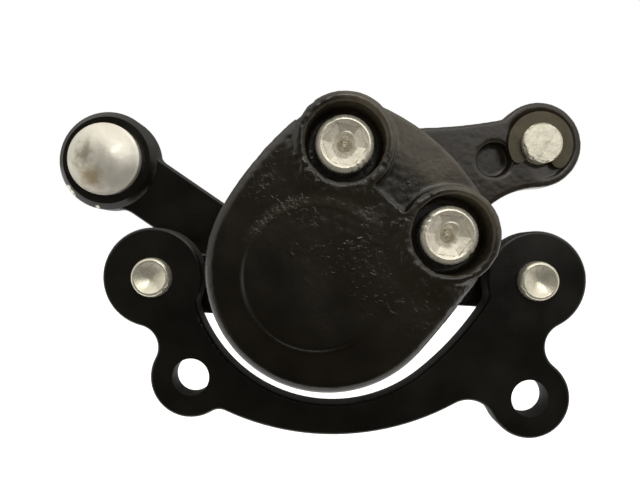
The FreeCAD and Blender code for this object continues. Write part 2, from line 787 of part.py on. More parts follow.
def make_pad(prefix, face, lining_back, plate_back, towards_viewer):
    """A round pad: steel back plate with a tab below, lining with a cross groove, and its magnet."""
    x = s.cam_axis_x
    z = s.cam_axis_z
    front, rear = (plate_back, lining_back) if towards_viewer else (lining_back, plate_back)
    plate = new_body(prefix + "_pad_plate")
    round_pad(plate, prefix + "Plate", x, z, s.pad_radius, front, rear)
    tab = pad_slot_sketch(plate, prefix + "Tab", rear, s.pad_radius, s.pad_tab_width, s.pad_tab_reach)
    pad(plate, tab, front, rear)
    nodes.append(plate)

    lining = new_body(prefix + "_pad_lining")
    front, rear = (lining_back, face) if towards_viewer else (face, lining_back)
    round_pad(lining, prefix + "Lining", x, z, s.pad_radius - s.lining_inset, front, rear)
    if towards_viewer:
        groove_front, groove_rear = face - s.lining_groove_depth, face
    else:
        groove_front, groove_rear = face, face + s.lining_groove_depth
    groove = cross_sketch(lining, prefix + "Groove", groove_front)
    half = s.lining_groove_width / 2
    add_rectangle(groove, x - half, x + half, z - s.pad_radius, z + s.pad_radius)
    pocket(lining, groove, groove_front, groove_rear)
    nodes.append(lining)

    if towards_viewer:
        magnet_front, magnet_rear = plate_back - s.magnet_thickness, plate_back
    else:
        magnet_front, magnet_rear = plate_back, plate_back + s.magnet_thickness
    magnet = new_body(prefix + "_pad_magnet")
    round_pad(magnet, prefix + "Magnet", x, z, s.magnet_radius, magnet_front, magnet_rear)
    nodes.append(magnet)


# Smooth wires: a path made of arcs that meet with one direction

def arc_edge(start, way, end):
    """The arc from start to end that sets out along way."""
    chord = end - start
    aside = way - chord * (way.dot(chord) / chord.dot(chord))
    if aside.Length < 1e-9:
        return Part.LineSegment(start, end).toShape()
    half_turn = way.getAngle(chord)
    rise = chord.Length / 2 * math.tan(half_turn / 2)
    middle = (start + end) * 0.5 + aside.normalize() * rise
    return Part.Arc(start, middle, end).toShape()


def two_arcs(start, way, end, end_way):
    """A pair of arcs from start to end that set out along way and arrive along end_way."""
    gap = end - start
    ways = way + end_way
    square = 2 * (way.dot(end_way) - 1)
    linear = -2 * gap.dot(ways)
    level = gap.dot(gap)
    root = math.sqrt(linear * linear - 4 * square * level)
    reach = (-linear - root) / (2 * square)
    meeting = (start + way * reach + end - end_way * reach) * 0.5
    back = arc_edge(end, -end_way, meeting)
    return [arc_edge(start, way, meeting), back]


def helix_point(axis_x, axis_z, radius, angle, depth):
    return FreeCAD.Vector(axis_x + radius * math.cos(angle), depth, axis_z + radius * math.sin(angle))


def helix_way(radius, angle, rise, sense):
    way = FreeCAD.Vector(-radius * math.sin(angle) * sense, rise, radius * math.cos(angle) * sense)
    return way.normalize()


def helix_edges(axis_x, axis_z, radius, start_angle, start_depth, turn, rise, sense, steps):
    """Arcs along a helix about Y: turn in radians, rise in depth for each radian, sense 1 or -1."""
    edges = []
    step = turn / steps
    for k in range(steps):
        a0 = start_angle + sense * step * k
        a1 = start_angle + sense * step * (k + 1)
        p0 = helix_point(axis_x, axis_z, radius, a0, start_depth + rise * step * k)
        p1 = helix_point(axis_x, axis_z, radius, a1, start_depth + rise * step * (k + 1))
        way0 = helix_way(radius, a0, rise, sense)
        way1 = helix_way(radius, a1, rise, sense)
        edges += two_arcs(p0, way0, p1, way1)
    return edges


def tube(edges, radius):
    """A round wire along the edges."""
    path = Part.Wire(Part.__sortEdges__(edges))
    first = path.OrderedEdges[0]
    start = path.OrderedVertexes[0].Point
    parameter = first.FirstParameter
    if first.valueAt(parameter).distanceToPoint(start) > 1e-6:
        parameter = first.LastParameter
    section = Part.Wire(Part.Circle(start, first.tangentAt(parameter), radius).toShape())
    return path.makePipeShell([section], True, False)


# Piston: a keyed disc with three ball ramps in its rear face

def ball_angles():
    return [math.radians(90 + 120 * k) for k in range(3)]


def make_piston():
    blank = new_body("piston_blank")
    x = s.cam_axis_x
    z = s.cam_axis_z
    round_pad(blank, "PistonDisc", x, z, s.piston_radius, piston_front, piston_rear)
    key = pad_slot_sketch(blank, "PistonKey", piston_rear, s.piston_radius,
                          s.piston_key_width, s.piston_key_reach)
    pad(blank, key, piston_front, piston_rear)
    round_pocket(blank, "PistonMagnet", x, z, s.magnet_radius,
                 piston_front, piston_front + s.magnet_thickness)

    groove = (s.ball_radius + s.ball_clearance).number
    spare = math.radians(s.ramp_spare_degrees.number)
    travel = math.radians(s.ramp_travel_degrees.number)
    rise = s.ramp_rise_per_radian.number
    tools = []
    for angle in ball_angles():
        edges = helix_edges(x.number, z.number, s.ball_ring_radius.number, angle + spare,
                            ball_centre.number - rise * spare, travel + 2 * spare, rise, -1, 1)
        tools.append(tube(edges, groove))
        for turn in (-spare, travel + spare):
            point = helix_point(x.number, z.number, s.ball_ring_radius.number, angle - turn,
                                ball_centre.number + rise * turn)
            tools.append(Part.makeSphere(groove, point))
    ramps = doc.addObject("Part::Feature", "BallRamps")
    ramps.Shape = tools[0].fuse(tools[1:])
    piston = doc.addObject("Part::Cut", "pressure_piston")
    piston.Base = blank
    piston.Tool = ramps
    piston.Label = "pressure_piston"
    nodes.append(piston)


def make_balls():
    balls = []
    for k, angle in enumerate(ball_angles()):
        ball = doc.addObject("Part::Sphere", "Ball%d" % (k + 1))
        bind(ball, "Radius", s.ball_radius)
        bind(ball, "Placement.Base.x", s.cam_axis_x + s.ball_ring_radius * math.cos(angle))
        bind(ball, "Placement.Base.y", ball_centre)
        bind(ball, "Placement.Base.z", s.cam_axis_z + s.ball_ring_radius * math.sin(angle))
        balls.append(ball)
    group = doc.addObject("Part::Compound", "cam_balls")
    group.Links = balls
    group.Label = "cam_balls"
    nodes.append(group)


def make_cam_shaft():
    """Race disc and shaft in one, with a ring groove for the balls, flats for the lever and a thread."""
    body = new_body("cam_shaft", s.cam_axis_x, s.cam_axis_z)
    flats_rear = lever_rear - s.seat_gap
    shaft_rear = nut_rear + s.shaft_end
    turned(body, "CamSection", [
        (ZERO, cam_front),
        (s.cam_disc_radius, cam_front),
        (s.cam_disc_radius, cam_rear),
        (s.shaft_radius, cam_rear),
        (s.shaft_radius, flats_rear),
        (s.shaft_thread_radius, flats_rear),
        (s.shaft_thread_radius, shaft_rear),
        (ZERO, shaft_rear),
    ])
    race = side_sketch(body, "BallRace")
    add_circle(race, s.ball_ring_radius, ball_centre, s.ball_radius + s.ball_clearance)
    groove = body.newObject("PartDesign::Groove", "Cut_BallRace")
    groove.Profile = race
    groove.ReferenceAxis = (race, ["V_Axis"])
    groove.Angle = 360
    doc.recompute()
    cuts.append(groove)
    flats_front = lever_front - s.running_gap
    half = s.shaft_flats / 2
    reach = s.shaft_radius * 2
    sides = cross_sketch(body, "ShaftSideFlats", flats_front)
    add_rectangle(sides, half, reach, -reach, reach)
    add_rectangle(sides, -reach, -half, -reach, reach)
    pocket(body, sides, flats_front, flats_rear)
    ends = cross_sketch(body, "ShaftEndFlats", flats_front)
    add_rectangle(ends, -reach, reach, half, reach)
    add_rectangle(ends, -reach, reach, -reach, -half)
    pocket(body, ends, flats_front, flats_rear)
    nodes.append(body)


# Return spring: a torsion spring round the rear boss, one foot in the housing and one in the lever

def spring_foot(degrees, outgoing):
    """Where a foot of the spring goes in: a straight leg and a bend beyond the coil's end."""
    angle = math.radians(degrees)
    reach = s.spring_leg + s.spring_bend_radius
    x = s.cam_axis_x + s.spring_coil_radius * math.cos(angle) - reach * (outgoing * math.sin(angle))
    z = s.cam_axis_z + s.spring_coil_radius * math.sin(angle) + reach * (outgoing * math.cos(angle))
    return x, z


def spring_end(start, way, face):
    """Edges of one leg, from the coil outwards: straight, a bend, and the hook through the face."""
    inwards = 1 if face.number > start.y else -1
    hook = FreeCAD.Vector(0, inwards, 0)
    knee = start + way * s.spring_leg.number
    bend_end = knee + (way + hook) * (s.spring_bend_radius.number * math.tan(way.getAngle(hook) / 2))
    tip = FreeCAD.Vector(bend_end.x, face.number + inwards * s.spring_hook.number, bend_end.z)
    return [
        Part.LineSegment(start, knee).toShape(),
        arc_edge(knee, way, bend_end),
        Part.LineSegment(bend_end, tip).toShape(),
    ]


def least_gap(edges, radius, apart):
    """The least gap between stretches of a wire that lie further than apart along it."""
    points = []
    for edge in Part.Wire(Part.__sortEdges__(edges)).OrderedEdges:
        points += edge.discretize(Distance=radius)[1:]
    skip = int(apart / radius)
    nearest = min(p.distanceToPoint(q) for i, p in enumerate(points) for q in points[i + skip:])
    return nearest - 2 * radius


def make_spring():
    x = s.cam_axis_x.number
    z = s.cam_axis_z.number
    radius = s.spring_coil_radius.number
    rise = s.spring_pitch.number / (2 * math.pi)
    turn = 2 * math.pi * s.spring_turns.number
    start = math.radians(s.spring_start_degrees.number)
    first_depth = (housing_rear + s.seat_gap + s.spring_wire_radius).number
    steps = int(round(s.spring_turns.number * 4))
    edges = helix_edges(x, z, radius, start, first_depth, turn, rise, 1, steps)
    first = helix_point(x, z, radius, start, first_depth)
    last = helix_point(x, z, radius, start + turn, first_depth + rise * turn)
    edges += spring_end(first, -helix_way(radius, start, rise, 1), housing_rear)
    edges += spring_end(last, helix_way(radius, start + turn, rise, 1), lever_front)
    spring = doc.addObject("Part::Feature", "return_spring")
    spring.Shape = tube(edges, s.spring_wire_radius.number)
    spring.Label = "return_spring"
    nodes.append(spring)
    gap = least_gap(edges, s.spring_wire_radius.number, radius)
    print("return spring: least gap to itself %.2f mm" % gap)


# Lever

def make_lever():
    """Round hub, straight arm whose lower edge runs off the hub's rim, and a thicker round eye."""
    body = new_body("actuator_lever")
    x = s.cam_axis_x
    z = s.cam_axis_z
    eye_x = s.lever_eye_x
    eye_z = s.lever_eye_z
    span_x = eye_x - x
    span_z = eye_z - z
    offset = s.lever_hub_radius - s.lever_arm_width / 2
    square = span_x * span_x + span_z * span_z
    reach = root(square - offset * offset)
    along_x = (span_x * reach + span_z * offset) / square
    along_z = (span_z * reach - span_x * offset) / square
    foot_x = x - along_z * s.lever_hub_radius
    foot_z = z + along_x * s.lever_hub_radius
    width_x = along_z * s.lever_arm_width
    width_z = along_x * s.lever_arm_width
    round_pad(body, "LeverHub", x, z, s.lever_hub_radius, lever_front, lever_rear)
    arm = cross_sketch(body, "LeverArm", lever_rear)
    add_polygon(arm, [
        (foot_x, foot_z),
        (foot_x + along_x * reach, foot_z + along_z * reach),
        (foot_x + along_x * reach + width_x, foot_z + along_z * reach - width_z),
        (foot_x + width_x, foot_z - width_z),
    ])
    pad(body, arm, lever_front, lever_rear)
    blank = round_pad(body, "LeverEye", eye_x, eye_z, s.lever_eye_radius, lever_front, lever_rear)

    # The corners between arm and eye: the upper one is tighter than the lower one
    upper = corner_beside_eye(blank, along_x.number, along_z.number, 1)
    blank = round_edges(body, blank, upper, s.lever_upper_fillet)
    lower = corner_beside_eye(blank, along_x.number, along_z.number, -1)
    blank = round_edges(body, blank, lower, s.lever_lower_fillet)
    round_edges(body, blank, edges_at_depth(blank, lever_front), s.lever_edge_round)
    round_pad(body, "LeverEyeRear", eye_x, eye_z, s.lever_eye_radius,
              lever_front + s.lever_thickness / 2, eye_rear)
    eye = round_pad(body, "LeverEyeFront", eye_x, eye_z, s.lever_eye_radius, eye_front, lever_rear)
    round_edges(body, eye, edges_at_depth(eye, eye_front), s.lever_eye_bevel, "Chamfer")

    round_pocket(body, "LeverEyeBore", eye_x, eye_z, s.clamp_pin_radius + s.sliding_clearance,
                 eye_front, eye_rear)
    drive_hole = cross_sketch(body, "LeverDrive", lever_front)
    half = s.shaft_flats / 2 + s.sliding_clearance
    add_rectangle(drive_hole, x - half, x + half, z - half, z + half)
    pocket(body, drive_hole, lever_front, lever_rear)
    last_degrees = s.spring_start_degrees.number + 360 * s.spring_turns.number
    spring_x, spring_z = spring_foot(last_degrees, 1)
    round_pocket(body, "LeverSpringHole", spring_x, spring_z,
                 s.spring_wire_radius + s.spring_hole_clearance,
                 lever_front, lever_front + s.spring_hook + s.seat_gap)
    nodes.append(body)


def root(length):
    return Length(math.sqrt(length.number), "sqrt(%s)" % length.formula)


def corner_beside_eye(feature, along_x, along_z, side):
    """The upright edge where the arm meets the eye: side 1 is above the arm, -1 below it."""
    eye_x = s.lever_eye_x.number
    eye_z = s.lever_eye_z.number
    names = []
    for name in edges_along_depth(feature, eye_x, eye_z, s.lever_eye_radius.number + 0.5):
        edge = feature.Shape.getElement(name)
        height = (edge.BoundBox.XMin - eye_x) * along_z - (edge.BoundBox.ZMin - eye_z) * along_x
        if height * side > 0:
            names.append(name)
    return names


def make_lever_nut():
    body = new_body("lever_nut", s.cam_axis_x, s.cam_axis_z)
    sketch = cross_sketch(body, "NutSection", nut_rear)
    add_hexagon(sketch, ZERO, ZERO, s.lever_nut_flats)
    add_circle(sketch, ZERO, ZERO, s.shaft_thread_radius + s.sliding_clearance)
    pad(body, sketch, washer_rear, nut_rear)
    nodes.append(body)


# Cable clamp in the lever's eye and cable stop in the lug, both turned to face along the cable

cable_tilt = Length(
    math.degrees(math.atan2((s.lug_z - s.lever_eye_z).number, (s.lug_x - s.lever_eye_x).number)),
    "atan2(%s; %s)" % ((s.lug_z - s.lever_eye_z).formula, (s.lug_x - s.lever_eye_x).formula),
)


def make_clip(label, x, z, pin_radius, front):
    """A spring clip that sits in the groove of a pin, open below."""
    body = new_body(label, x, z)
    inner = pin_radius - s.clip_groove_depth + s.sliding_clearance
    middle = (inner + s.clip_radius) / 2
    sketch = cross_sketch(body, "Section_" + label, front + s.clip_thickness)
    tips = []
    for tip_x in (s.clip_tip_left_x, s.clip_tip_right_x):
        drop = math.sqrt(middle.number ** 2 - tip_x.number ** 2)
        tips.append(Bend((s.clip_radius - inner) / 2, 1, tip_x, -drop, pins="x"))
    add_outline(sketch, [
        Bend(s.clip_radius, 1, ZERO, ZERO),
        tips[0],
        Bend(inner, -1, ZERO, ZERO),
        tips[1],
    ])
    pad(body, sketch, front, front + s.clip_thickness)
    nodes.append(body)


def grooved_pin(pin_radius, clip_front):
    """Corners of a pin's profile at the groove for its clip."""
    groove_front = clip_front - s.sliding_clearance
    groove_rear = clip_front + s.clip_thickness + s.sliding_clearance
    bottom = pin_radius - s.clip_groove_depth
    return [
        (pin_radius, groove_front),
        (bottom, groove_front),
        (bottom, groove_rear),
        (pin_radius, groove_rear),
    ]


def cross_hole(body, name, radius, reach):
    """A hole along the body's X axis at the depth of the cable."""
    sketch = body.newObject("Sketcher::SketchObject", name)
    sketch.AttachmentSupport = [(origin_plane(body, "YZ_Plane"), "")]
    sketch.MapMode = "FlatFace"
    bind(sketch, "AttachmentOffset.Base.z", reach)
    add_circle(sketch, cable_depth, ZERO, radius)
    pocket(body, sketch, ZERO, reach * 2)


def make_clamp():
    body = new_body("cable_clamp_pin", s.lever_eye_x, s.lever_eye_z, tilt=cable_tilt)
    head_back = eye_front - s.running_gap
    head_rim = head_back - s.clamp_head_side
    dome_top = head_rim - s.clamp_head_dome
    clip_front = eye_rear + s.seat_gap
    pin_end = cable_depth + s.clamp_pin_beyond_wire
    turned(body, "ClampSection", [
        (ZERO, head_rim),
        (s.clamp_head_radius, head_rim),
        (s.clamp_head_radius, head_back),
        (s.clamp_pin_radius, head_back),
    ] + grooved_pin(s.clamp_pin_radius, clip_front) + [
        (s.clamp_pin_radius, pin_end),
        (ZERO, pin_end),
    ])
    add_dome(body, "ClampDome", s.clamp_head_radius, head_rim, dome_top)
    cross_hole(body, "WireHole", s.wire_hole_radius, s.clamp_pin_radius * 2)
    round_pocket(body, "ClampThread", ZERO, ZERO, s.clamp_screw_radius + s.sliding_clearance,
                 cable_depth + s.wire_hole_radius / 2, pin_end)
    nodes.append(body)
    make_clip("clamp_clip", s.lever_eye_x, s.lever_eye_z, s.clamp_pin_radius, clip_front)

    screw = new_body("clamp_screw", s.lever_eye_x, s.lever_eye_z)
    round_pad(screw, "ClampScrewThread", ZERO, ZERO, s.clamp_screw_radius,
              cable_depth + s.wire_hole_radius + s.seat_gap, pin_end + s.clamp_screw_head)
    head = cross_sketch(screw, "ClampScrewHead", pin_end + s.clamp_screw_head)
    add_hexagon(head, ZERO, ZERO, s.clamp_screw_flats)
    pad(screw, head, pin_end, pin_end + s.clamp_screw_head)
    nodes.append(screw)


def add_dome(body, name, radius, rim, top):
    """A shallow cap turned about the body's Y axis, from its rim to its top."""
    sketch = side_sketch(body, name)
    rise = (rim - top).number
    ball = (radius.number ** 2 + rise ** 2) / (2 * rise)
    centre = FreeCAD.Vector(0, top.number + ball, 0)
    rim_angle = math.atan2(rim.number - centre.y, radius.number)
    circle = Part.Circle(centre, FreeCAD.Vector(0, 0, 1), ball)
    corner = FreeCAD.Vector(radius.number, rim.number, 0)
    foot = FreeCAD.Vector(0, rim.number, 0)
    apex = FreeCAD.Vector(0, top.number, 0)
    arc = sketch.addGeometry(Part.ArcOfCircle(circle, -math.pi / 2, rim_angle))
    base = sketch.addGeometry(Part.LineSegment(corner, foot))
    axis = sketch.addGeometry(Part.LineSegment(foot, apex))
    for end, start in ((arc, base), (base, axis), (axis, arc)):
        sketch.addConstraint(Sketcher.Constraint("Coincident", end, 2, start, 1))
    sketch.addConstraint(Sketcher.Constraint("PointOnObject", arc, 3, -2))
    pin_point(sketch, arc, 1, ZERO, top)
    pin_point(sketch, base, 1, radius, rim)
    pin_point(sketch, axis, 1, ZERO, rim)
    feature = body.newObject("PartDesign::Revolution", "Turned_" + name)
    feature.Profile = sketch
    feature.ReferenceAxis = (sketch, ["V_Axis"])
    feature.Angle = 360
    doc.recompute()
    return feature


def make_cable_stop():
    body = new_body("cable_stop_barrel", s.lug_x, s.lug_z, tilt=cable_tilt)
    pin_front = -s.lug_front - s.stop_pin_proud
    clip_front = -s.lug_front - s.seat_gap - s.clip_thickness
    barrel_front = s.lug_boss_rear + s.seat_gap
    barrel_rear = cable_depth + s.stop_barrel_beyond_cable
    turned(body, "StopSection", [
        (ZERO, pin_front),
        (s.stop_pin_radius - s.stop_pin_chamfer, pin_front),
        (s.stop_pin_radius, pin_front + s.stop_pin_chamfer),
    ] + grooved_pin(s.stop_pin_radius, clip_front) + [
        (s.stop_pin_radius, barrel_front),
        (s.stop_barrel_radius, barrel_front),
        (s.stop_barrel_radius, barrel_rear),
        (ZERO, barrel_rear),
    ])
    flats = cross_sketch(body, "BarrelFlats", barrel_front)
    reach = s.stop_barrel_radius * 2
    add_rectangle(flats, s.stop_barrel_flat, reach, -reach, reach)
    add_rectangle(flats, -reach, -s.stop_barrel_flat, -reach, reach)
    pocket(body, flats, barrel_front, barrel_rear)
    cross_hole(body, "AdjusterThread", s.adjuster_radius + s.sliding_clearance, reach)
    nodes.append(body)
    make_clip("stop_clip", s.lug_x, s.lug_z, s.stop_pin_radius, clip_front)


def make_adjuster():
    """A short hollow screw through the stop barrel, with a seat for the cable's housing, and its nut."""
    body = new_body("barrel_adjuster", s.lug_x, s.lug_z, y=cable_depth, tilt=cable_tilt)
    head_start = s.stop_barrel_flat + s.locknut_height + s.seat_gap
    head_end = head_start + s.adjuster_head_length
    seat_bottom = head_end - s.housing_seat_depth
    turned(body, "AdjusterSection", [
        (-s.adjuster_tail, s.wire_hole_radius),
        (-s.adjuster_tail, s.adjuster_radius),
        (head_start, s.adjuster_radius),
        (head_start, s.adjuster_head_radius),
        (head_end, s.adjuster_head_radius),
        (head_end, s.housing_seat_radius),
        (seat_bottom, s.housing_seat_radius),
        (seat_bottom, s.wire_hole_radius),
    ], axis="H_Axis")
    nodes.append(body)

    nut = new_body("adjuster_locknut", s.lug_x, s.lug_z, y=cable_depth, tilt=cable_tilt)
    section = nut.newObject("Sketcher::SketchObject", "LocknutSection")
    section.AttachmentSupport = [(origin_plane(nut, "YZ_Plane"), "")]
    section.MapMode = "FlatFace"
    bind(section, "AttachmentOffset.Base.z", s.stop_barrel_flat)
    add_hexagon(section, ZERO, ZERO, s.locknut_flats)
    add_circle(section, ZERO, ZERO, s.adjuster_radius + s.sliding_clearance)
    pad(nut, section, ZERO, s.locknut_height)
    nodes.append(nut)


# The whole caliper

make_bracket()
make_guide_pin("guide_pin_left", left_pin_x, s.left_pin_z)
make_guide_pin("guide_pin_right", right_pin_x, s.right_pin_z)
make_front_half()
make_body_bolt("body_bolt_upper", s.upper_bolt_x, s.upper_bolt_z)
make_body_bolt("body_bolt_lower", s.lower_bolt_x, s.lower_bolt_z)
make_rear_half()
make_pad("fixed", fixed_pad_face, fixed_lining_back, fixed_plate_back, True)
make_pad("moving", moving_pad_face, moving_lining_back, piston_front, False)
make_piston()
make_balls()
make_cam_shaft()
ring("thrust_washer", s.cam_axis_x, s.cam_axis_z, s.shaft_radius + s.seat_gap,
     s.cam_disc_radius, thrust_front, back_wall_inner)
ring("shaft_bush", s.cam_axis_x, s.cam_axis_z, s.shaft_radius + s.sliding_clearance,
     s.shaft_radius + s.sliding_clearance + s.bush_wall, back_wall_inner, rear_boss_end - s.seal_thickness)
ring("shaft_seal", s.cam_axis_x, s.cam_axis_z, s.shaft_radius + s.sliding_clearance,
     s.shaft_radius + s.seal_wall, rear_boss_end - s.seal_thickness, rear_boss_end)
make_spring()
make_lever()
ring("lever_washer", s.cam_axis_x, s.cam_axis_z, s.shaft_thread_radius + s.sliding_clearance,
     s.lever_washer_radius, lever_rear, washer_rear)
make_lever_nut()
make_clamp()
make_cable_stop()
make_adjuster()
doc.recompute()

faults = []
for item in doc.Objects:
    for state in item.State:
        if "Invalid" in state or "Error" in state:
            faults.append("%s is in state %s" % (item.Name, state))
for cut in cuts:
    if cut.Shape.isNull() or cut.Shape.Volume > cut.BaseFeature.Shape.Volume - 0.01:
        faults.append("%s removes nothing" % cut.Name)
for node in nodes:
    if node.Shape.isNull() or not node.Shape.isValid():
        faults.append("%s has no valid shape" % node.Label)
if faults:
    raise RuntimeError("; ".join(faults))

os.makedirs("parts", exist_ok=True)
for node in nodes:
    node.Shape.exportStep(os.path.join("parts", node.Label + ".step"))
print("%d sub-parts written" % len(nodes))
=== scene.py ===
"""Looks of a floating disc brake caliper: painted castings, bright screws and pins, and its stage."""

import math

import bmesh
import bpy
import numpy as np
from bpy.props import FloatProperty, FloatVectorProperty, IntProperty, PointerProperty
from mathutils import Matrix, Vector, noise


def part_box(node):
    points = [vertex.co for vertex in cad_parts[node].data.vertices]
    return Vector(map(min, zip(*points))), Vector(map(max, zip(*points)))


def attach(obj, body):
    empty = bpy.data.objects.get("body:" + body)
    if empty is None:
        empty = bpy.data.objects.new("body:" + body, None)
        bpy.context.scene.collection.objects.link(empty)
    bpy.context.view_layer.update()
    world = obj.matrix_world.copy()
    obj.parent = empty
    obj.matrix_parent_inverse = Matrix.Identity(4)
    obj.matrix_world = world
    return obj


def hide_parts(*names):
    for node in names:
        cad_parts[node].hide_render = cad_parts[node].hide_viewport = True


bl_info = {
    "name": "Brake Caliper Looks",
    "version": (1, 0, 0),
    "blender": (4, 5, 0),
    "location": "View3D > Sidebar > Caliper",
    "description": "Finishes and small details for a cable-operated floating disc brake caliper",
    "category": "Object",
}

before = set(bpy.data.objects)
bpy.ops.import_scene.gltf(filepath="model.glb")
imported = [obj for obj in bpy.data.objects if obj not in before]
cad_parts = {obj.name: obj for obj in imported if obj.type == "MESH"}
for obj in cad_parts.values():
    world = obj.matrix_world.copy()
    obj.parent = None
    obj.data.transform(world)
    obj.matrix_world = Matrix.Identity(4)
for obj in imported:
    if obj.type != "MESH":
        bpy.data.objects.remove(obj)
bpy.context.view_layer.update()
MM = 0.001

# Axes of the round pieces, in millimetres across and up, from the middle of each piece's own box
SHAFT = (-10.0, 22.5)
UPPER_BOLT = (-6.7, 45.1)
LOWER_BOLT = (11.9, 30.8)
LEFT_PIN = (-42.89, 19.45)
RIGHT_PIN = (33.97, 23.55)
LEVER_EYE = (-60.2, 44.7)
LUG_PIN = (33.0, 51.0)

# The front half in millimetres: depths along Y, of which the front has the lowest, and radii
PAD_FACE = -25.5
RING_FOOT = -25.2
MATING_FACE = -14.35
RING_INSIDE = 11.4
RING_OUTSIDE = 13.0
PIT_RADIUS = 6.85
BOSS_TOP = 7.2
BOSS_RADIUS = 8.7
BOSS_FOOT = 12.0

# Directions over the front, across and up: to the web between the screws, and to the rough upper right
TO_WEB = (0.61, 0.79)
TO_ROUGH = (0.55, 0.84)
WEB_START = 33.8

# A screw's socket in millimetres: how deep its sloping bottom is where the drilled middle starts, the
# radius of that middle, and how much shallower the bottom gets for each millimetre further out
SOCKET_BOTTOM = 1.68
SOCKET_MIDDLE = 1.50
SOCKET_SLOPE = 0.44

# Noise stays mostly between these values
NOISE_LOW = 0.3
NOISE_HIGH = 0.7


def linear(hex_colour):
    """An sRGB colour such as 1b1a17 as linear red, green and blue, with a full alpha."""
    values = [int(hex_colour[i:i + 2], 16) / 255 for i in (0, 2, 4)]
    return [v / 12.92 if v <= 0.04045 else ((v + 0.055) / 1.055) ** 2.4 for v in values] + [1.0]


def colour_property(name, hex_colour, description):
    """A colour setting whose default is an sRGB hex value."""
    return FloatVectorProperty(name=name, description=description, default=linear(hex_colour),
                               subtype="COLOR", size=4, min=0.0, max=1.0)


class CaliperFinishes(bpy.types.PropertyGroup):
    """Colours of the caliper's finishes, and how dull the paints are."""

    cast_paint: colour_property("Casting Paint", "110d06", "Paint over the two cast halves")
    # The web and lug colours make the paint lighter towards the upper right: partly thinner, dusted
    # paint, partly painted light from that side
    web_dusted_and_lit: colour_property("Web Dusted and Lit", "494236", "The same paint, thin and dusty, on the front web")
    lug_dusted_and_lit: colour_property("Lug Dusted and Lit", "282219", "The same paint, thin and dusty, on the cable lug")
    plate_paint: colour_property("Plate Coat", "0e0c07", "Coat on the bracket and the lever")
    zinc: colour_property("Zinc", "ece6d6", "Plating of the screws and nuts")
    turned_steel: colour_property("Turned Steel", "e4dfcd", "Bare ends of the pins")
    dome_steel: colour_property("Dome Steel", "eae6da", "The lever's pressed head")
    clip_steel: colour_property("Clip Steel", "5c574a", "Blackened spring clips")
    lining: colour_property("Pad Lining", "38332c", "Friction lining of the pads")
    bronze: colour_property("Bronze", "a97d45", "Bush in the rear half")
    cast_roughness: FloatProperty(name="Casting Roughness", description="How dull the casting paint is",
                                  default=0.24, min=0.05, max=1.0, subtype="FACTOR")
    plate_roughness: FloatProperty(name="Plate Roughness", description="How dull the plate coat is",
                                   default=0.28, min=0.05, max=1.0, subtype="FACTOR")


class CaliperDetails(bpy.types.PropertyGroup):
    """Sizes of the small forms that dress the caliper."""

    cast_voxel: FloatProperty(
        name="Casting Mesh", description="Spacing of the casting's mesh",
        default=0.00034, min=0.0002, max=0.002, unit="LENGTH", precision=5)
    cast_lump: FloatProperty(
        name="Casting Lumps", description="Width of the lumps under the paint",
        default=0.0013, min=0.0005, max=0.01, unit="LENGTH", precision=4)
    cast_relief: FloatProperty(
        name="Casting Relief", description="Height of the lumps under the paint",
        default=0.00018, min=0.0, max=0.001, unit="LENGTH", precision=5)
    socket_mouth: FloatProperty(
        name="Socket Mouth", description="Width over the socket's corners at its mouth",
        default=0.0072, min=0.0058, max=0.0085, unit="LENGTH", precision=4)
    knurls: IntProperty(
        name="Knurls", description="Ridges round each screw head", default=54, min=12, max=120)


class CaliperStage(bpy.types.PropertyGroup):
    """Camera and light."""

    lens: FloatProperty(
        name="Lens", description="Focal length on a 36 mm sensor", default=33.75, min=10, max=200)
    camera_distance: FloatProperty(
        name="Camera Distance", description="From the bracket's rear face",
        default=0.125, min=0.05, max=2.0, unit="LENGTH")
    camera_roll: FloatProperty(
        name="Camera Roll", description="How far the view leans",
        default=math.radians(3.6), subtype="ANGLE", unit="ROTATION")
    room_light: FloatProperty(
        name="Room Light", description="Even light from all round", default=0.75, min=0.0)
    soft_box_glow: FloatProperty(
        name="Soft Box", description="How bright the soft box to the camera's right looks",
        default=1.3, min=0.0)


# Small tools

def plug(tree, node, inputs):
    """Set a node's sockets, by place or by name.

    Each is set to a value or linked to an output, which is the first one where a node is given.
    None leaves the socket as it is.
    """
    for name, value in inputs.items() if isinstance(inputs, dict) else enumerate(inputs):
        if isinstance(value, bpy.types.Node):
            value = value.outputs[0]
        if isinstance(value, bpy.types.NodeSocket):
            tree.links.new(value, node.inputs[name])
        elif value is not None:
            node.inputs[name].default_value = value


def add_node(tree, kind, inputs=(), **settings):
    """Add a node with its settings and links."""
    made = tree.nodes.new(kind)
    for name, value in settings.items():
        setattr(made, name, value)
    plug(tree, made, inputs)
    return made


def per_metre(feature_mm):
    """Scale of a pattern whose features are so many millimetres wide."""
    return 1000.0 / feature_mm


def new_material(name):
    """A material with a Principled shader, and the position on the piece in metres."""
    material = bpy.data.materials.new(name)
    material.use_nodes = True
    tree = material.node_tree
    shader = tree.nodes["Principled BSDF"]
    place = add_node(tree, "ShaderNodeTexCoord").outputs["Object"]
    return material, tree, shader, place


def dress(node, material):
    """Give a CAD piece its finish."""
    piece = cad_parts[node]
    piece.data.materials.clear()
    piece.data.materials.append(material)


def new_piece(name, mesh, material, body, stands_for=()):
    """Add a new piece that rides on a body, and stands for CAD nodes."""
    piece = bpy.data.objects.new(name, mesh)
    bpy.context.scene.collection.objects.link(piece)
    mesh.materials.clear()
    mesh.materials.append(material)
    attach(piece, body)
    if stands_for:
        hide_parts(*stands_for)


# Finishes

def mottle(tree, place, size_mm, start, end, detail=3.0, distortion=0.0):
    """Soft patches about so many millimetres wide, with values from start to end."""
    patches = add_node(tree, "ShaderNodeTexNoise", {
        "Vector": place, "Scale": per_metre(size_mm), "Detail": detail, "Distortion": distortion})
    return add_node(tree, "ShaderNodeMapRange", (patches, NOISE_LOW, NOISE_HIGH, start, end))


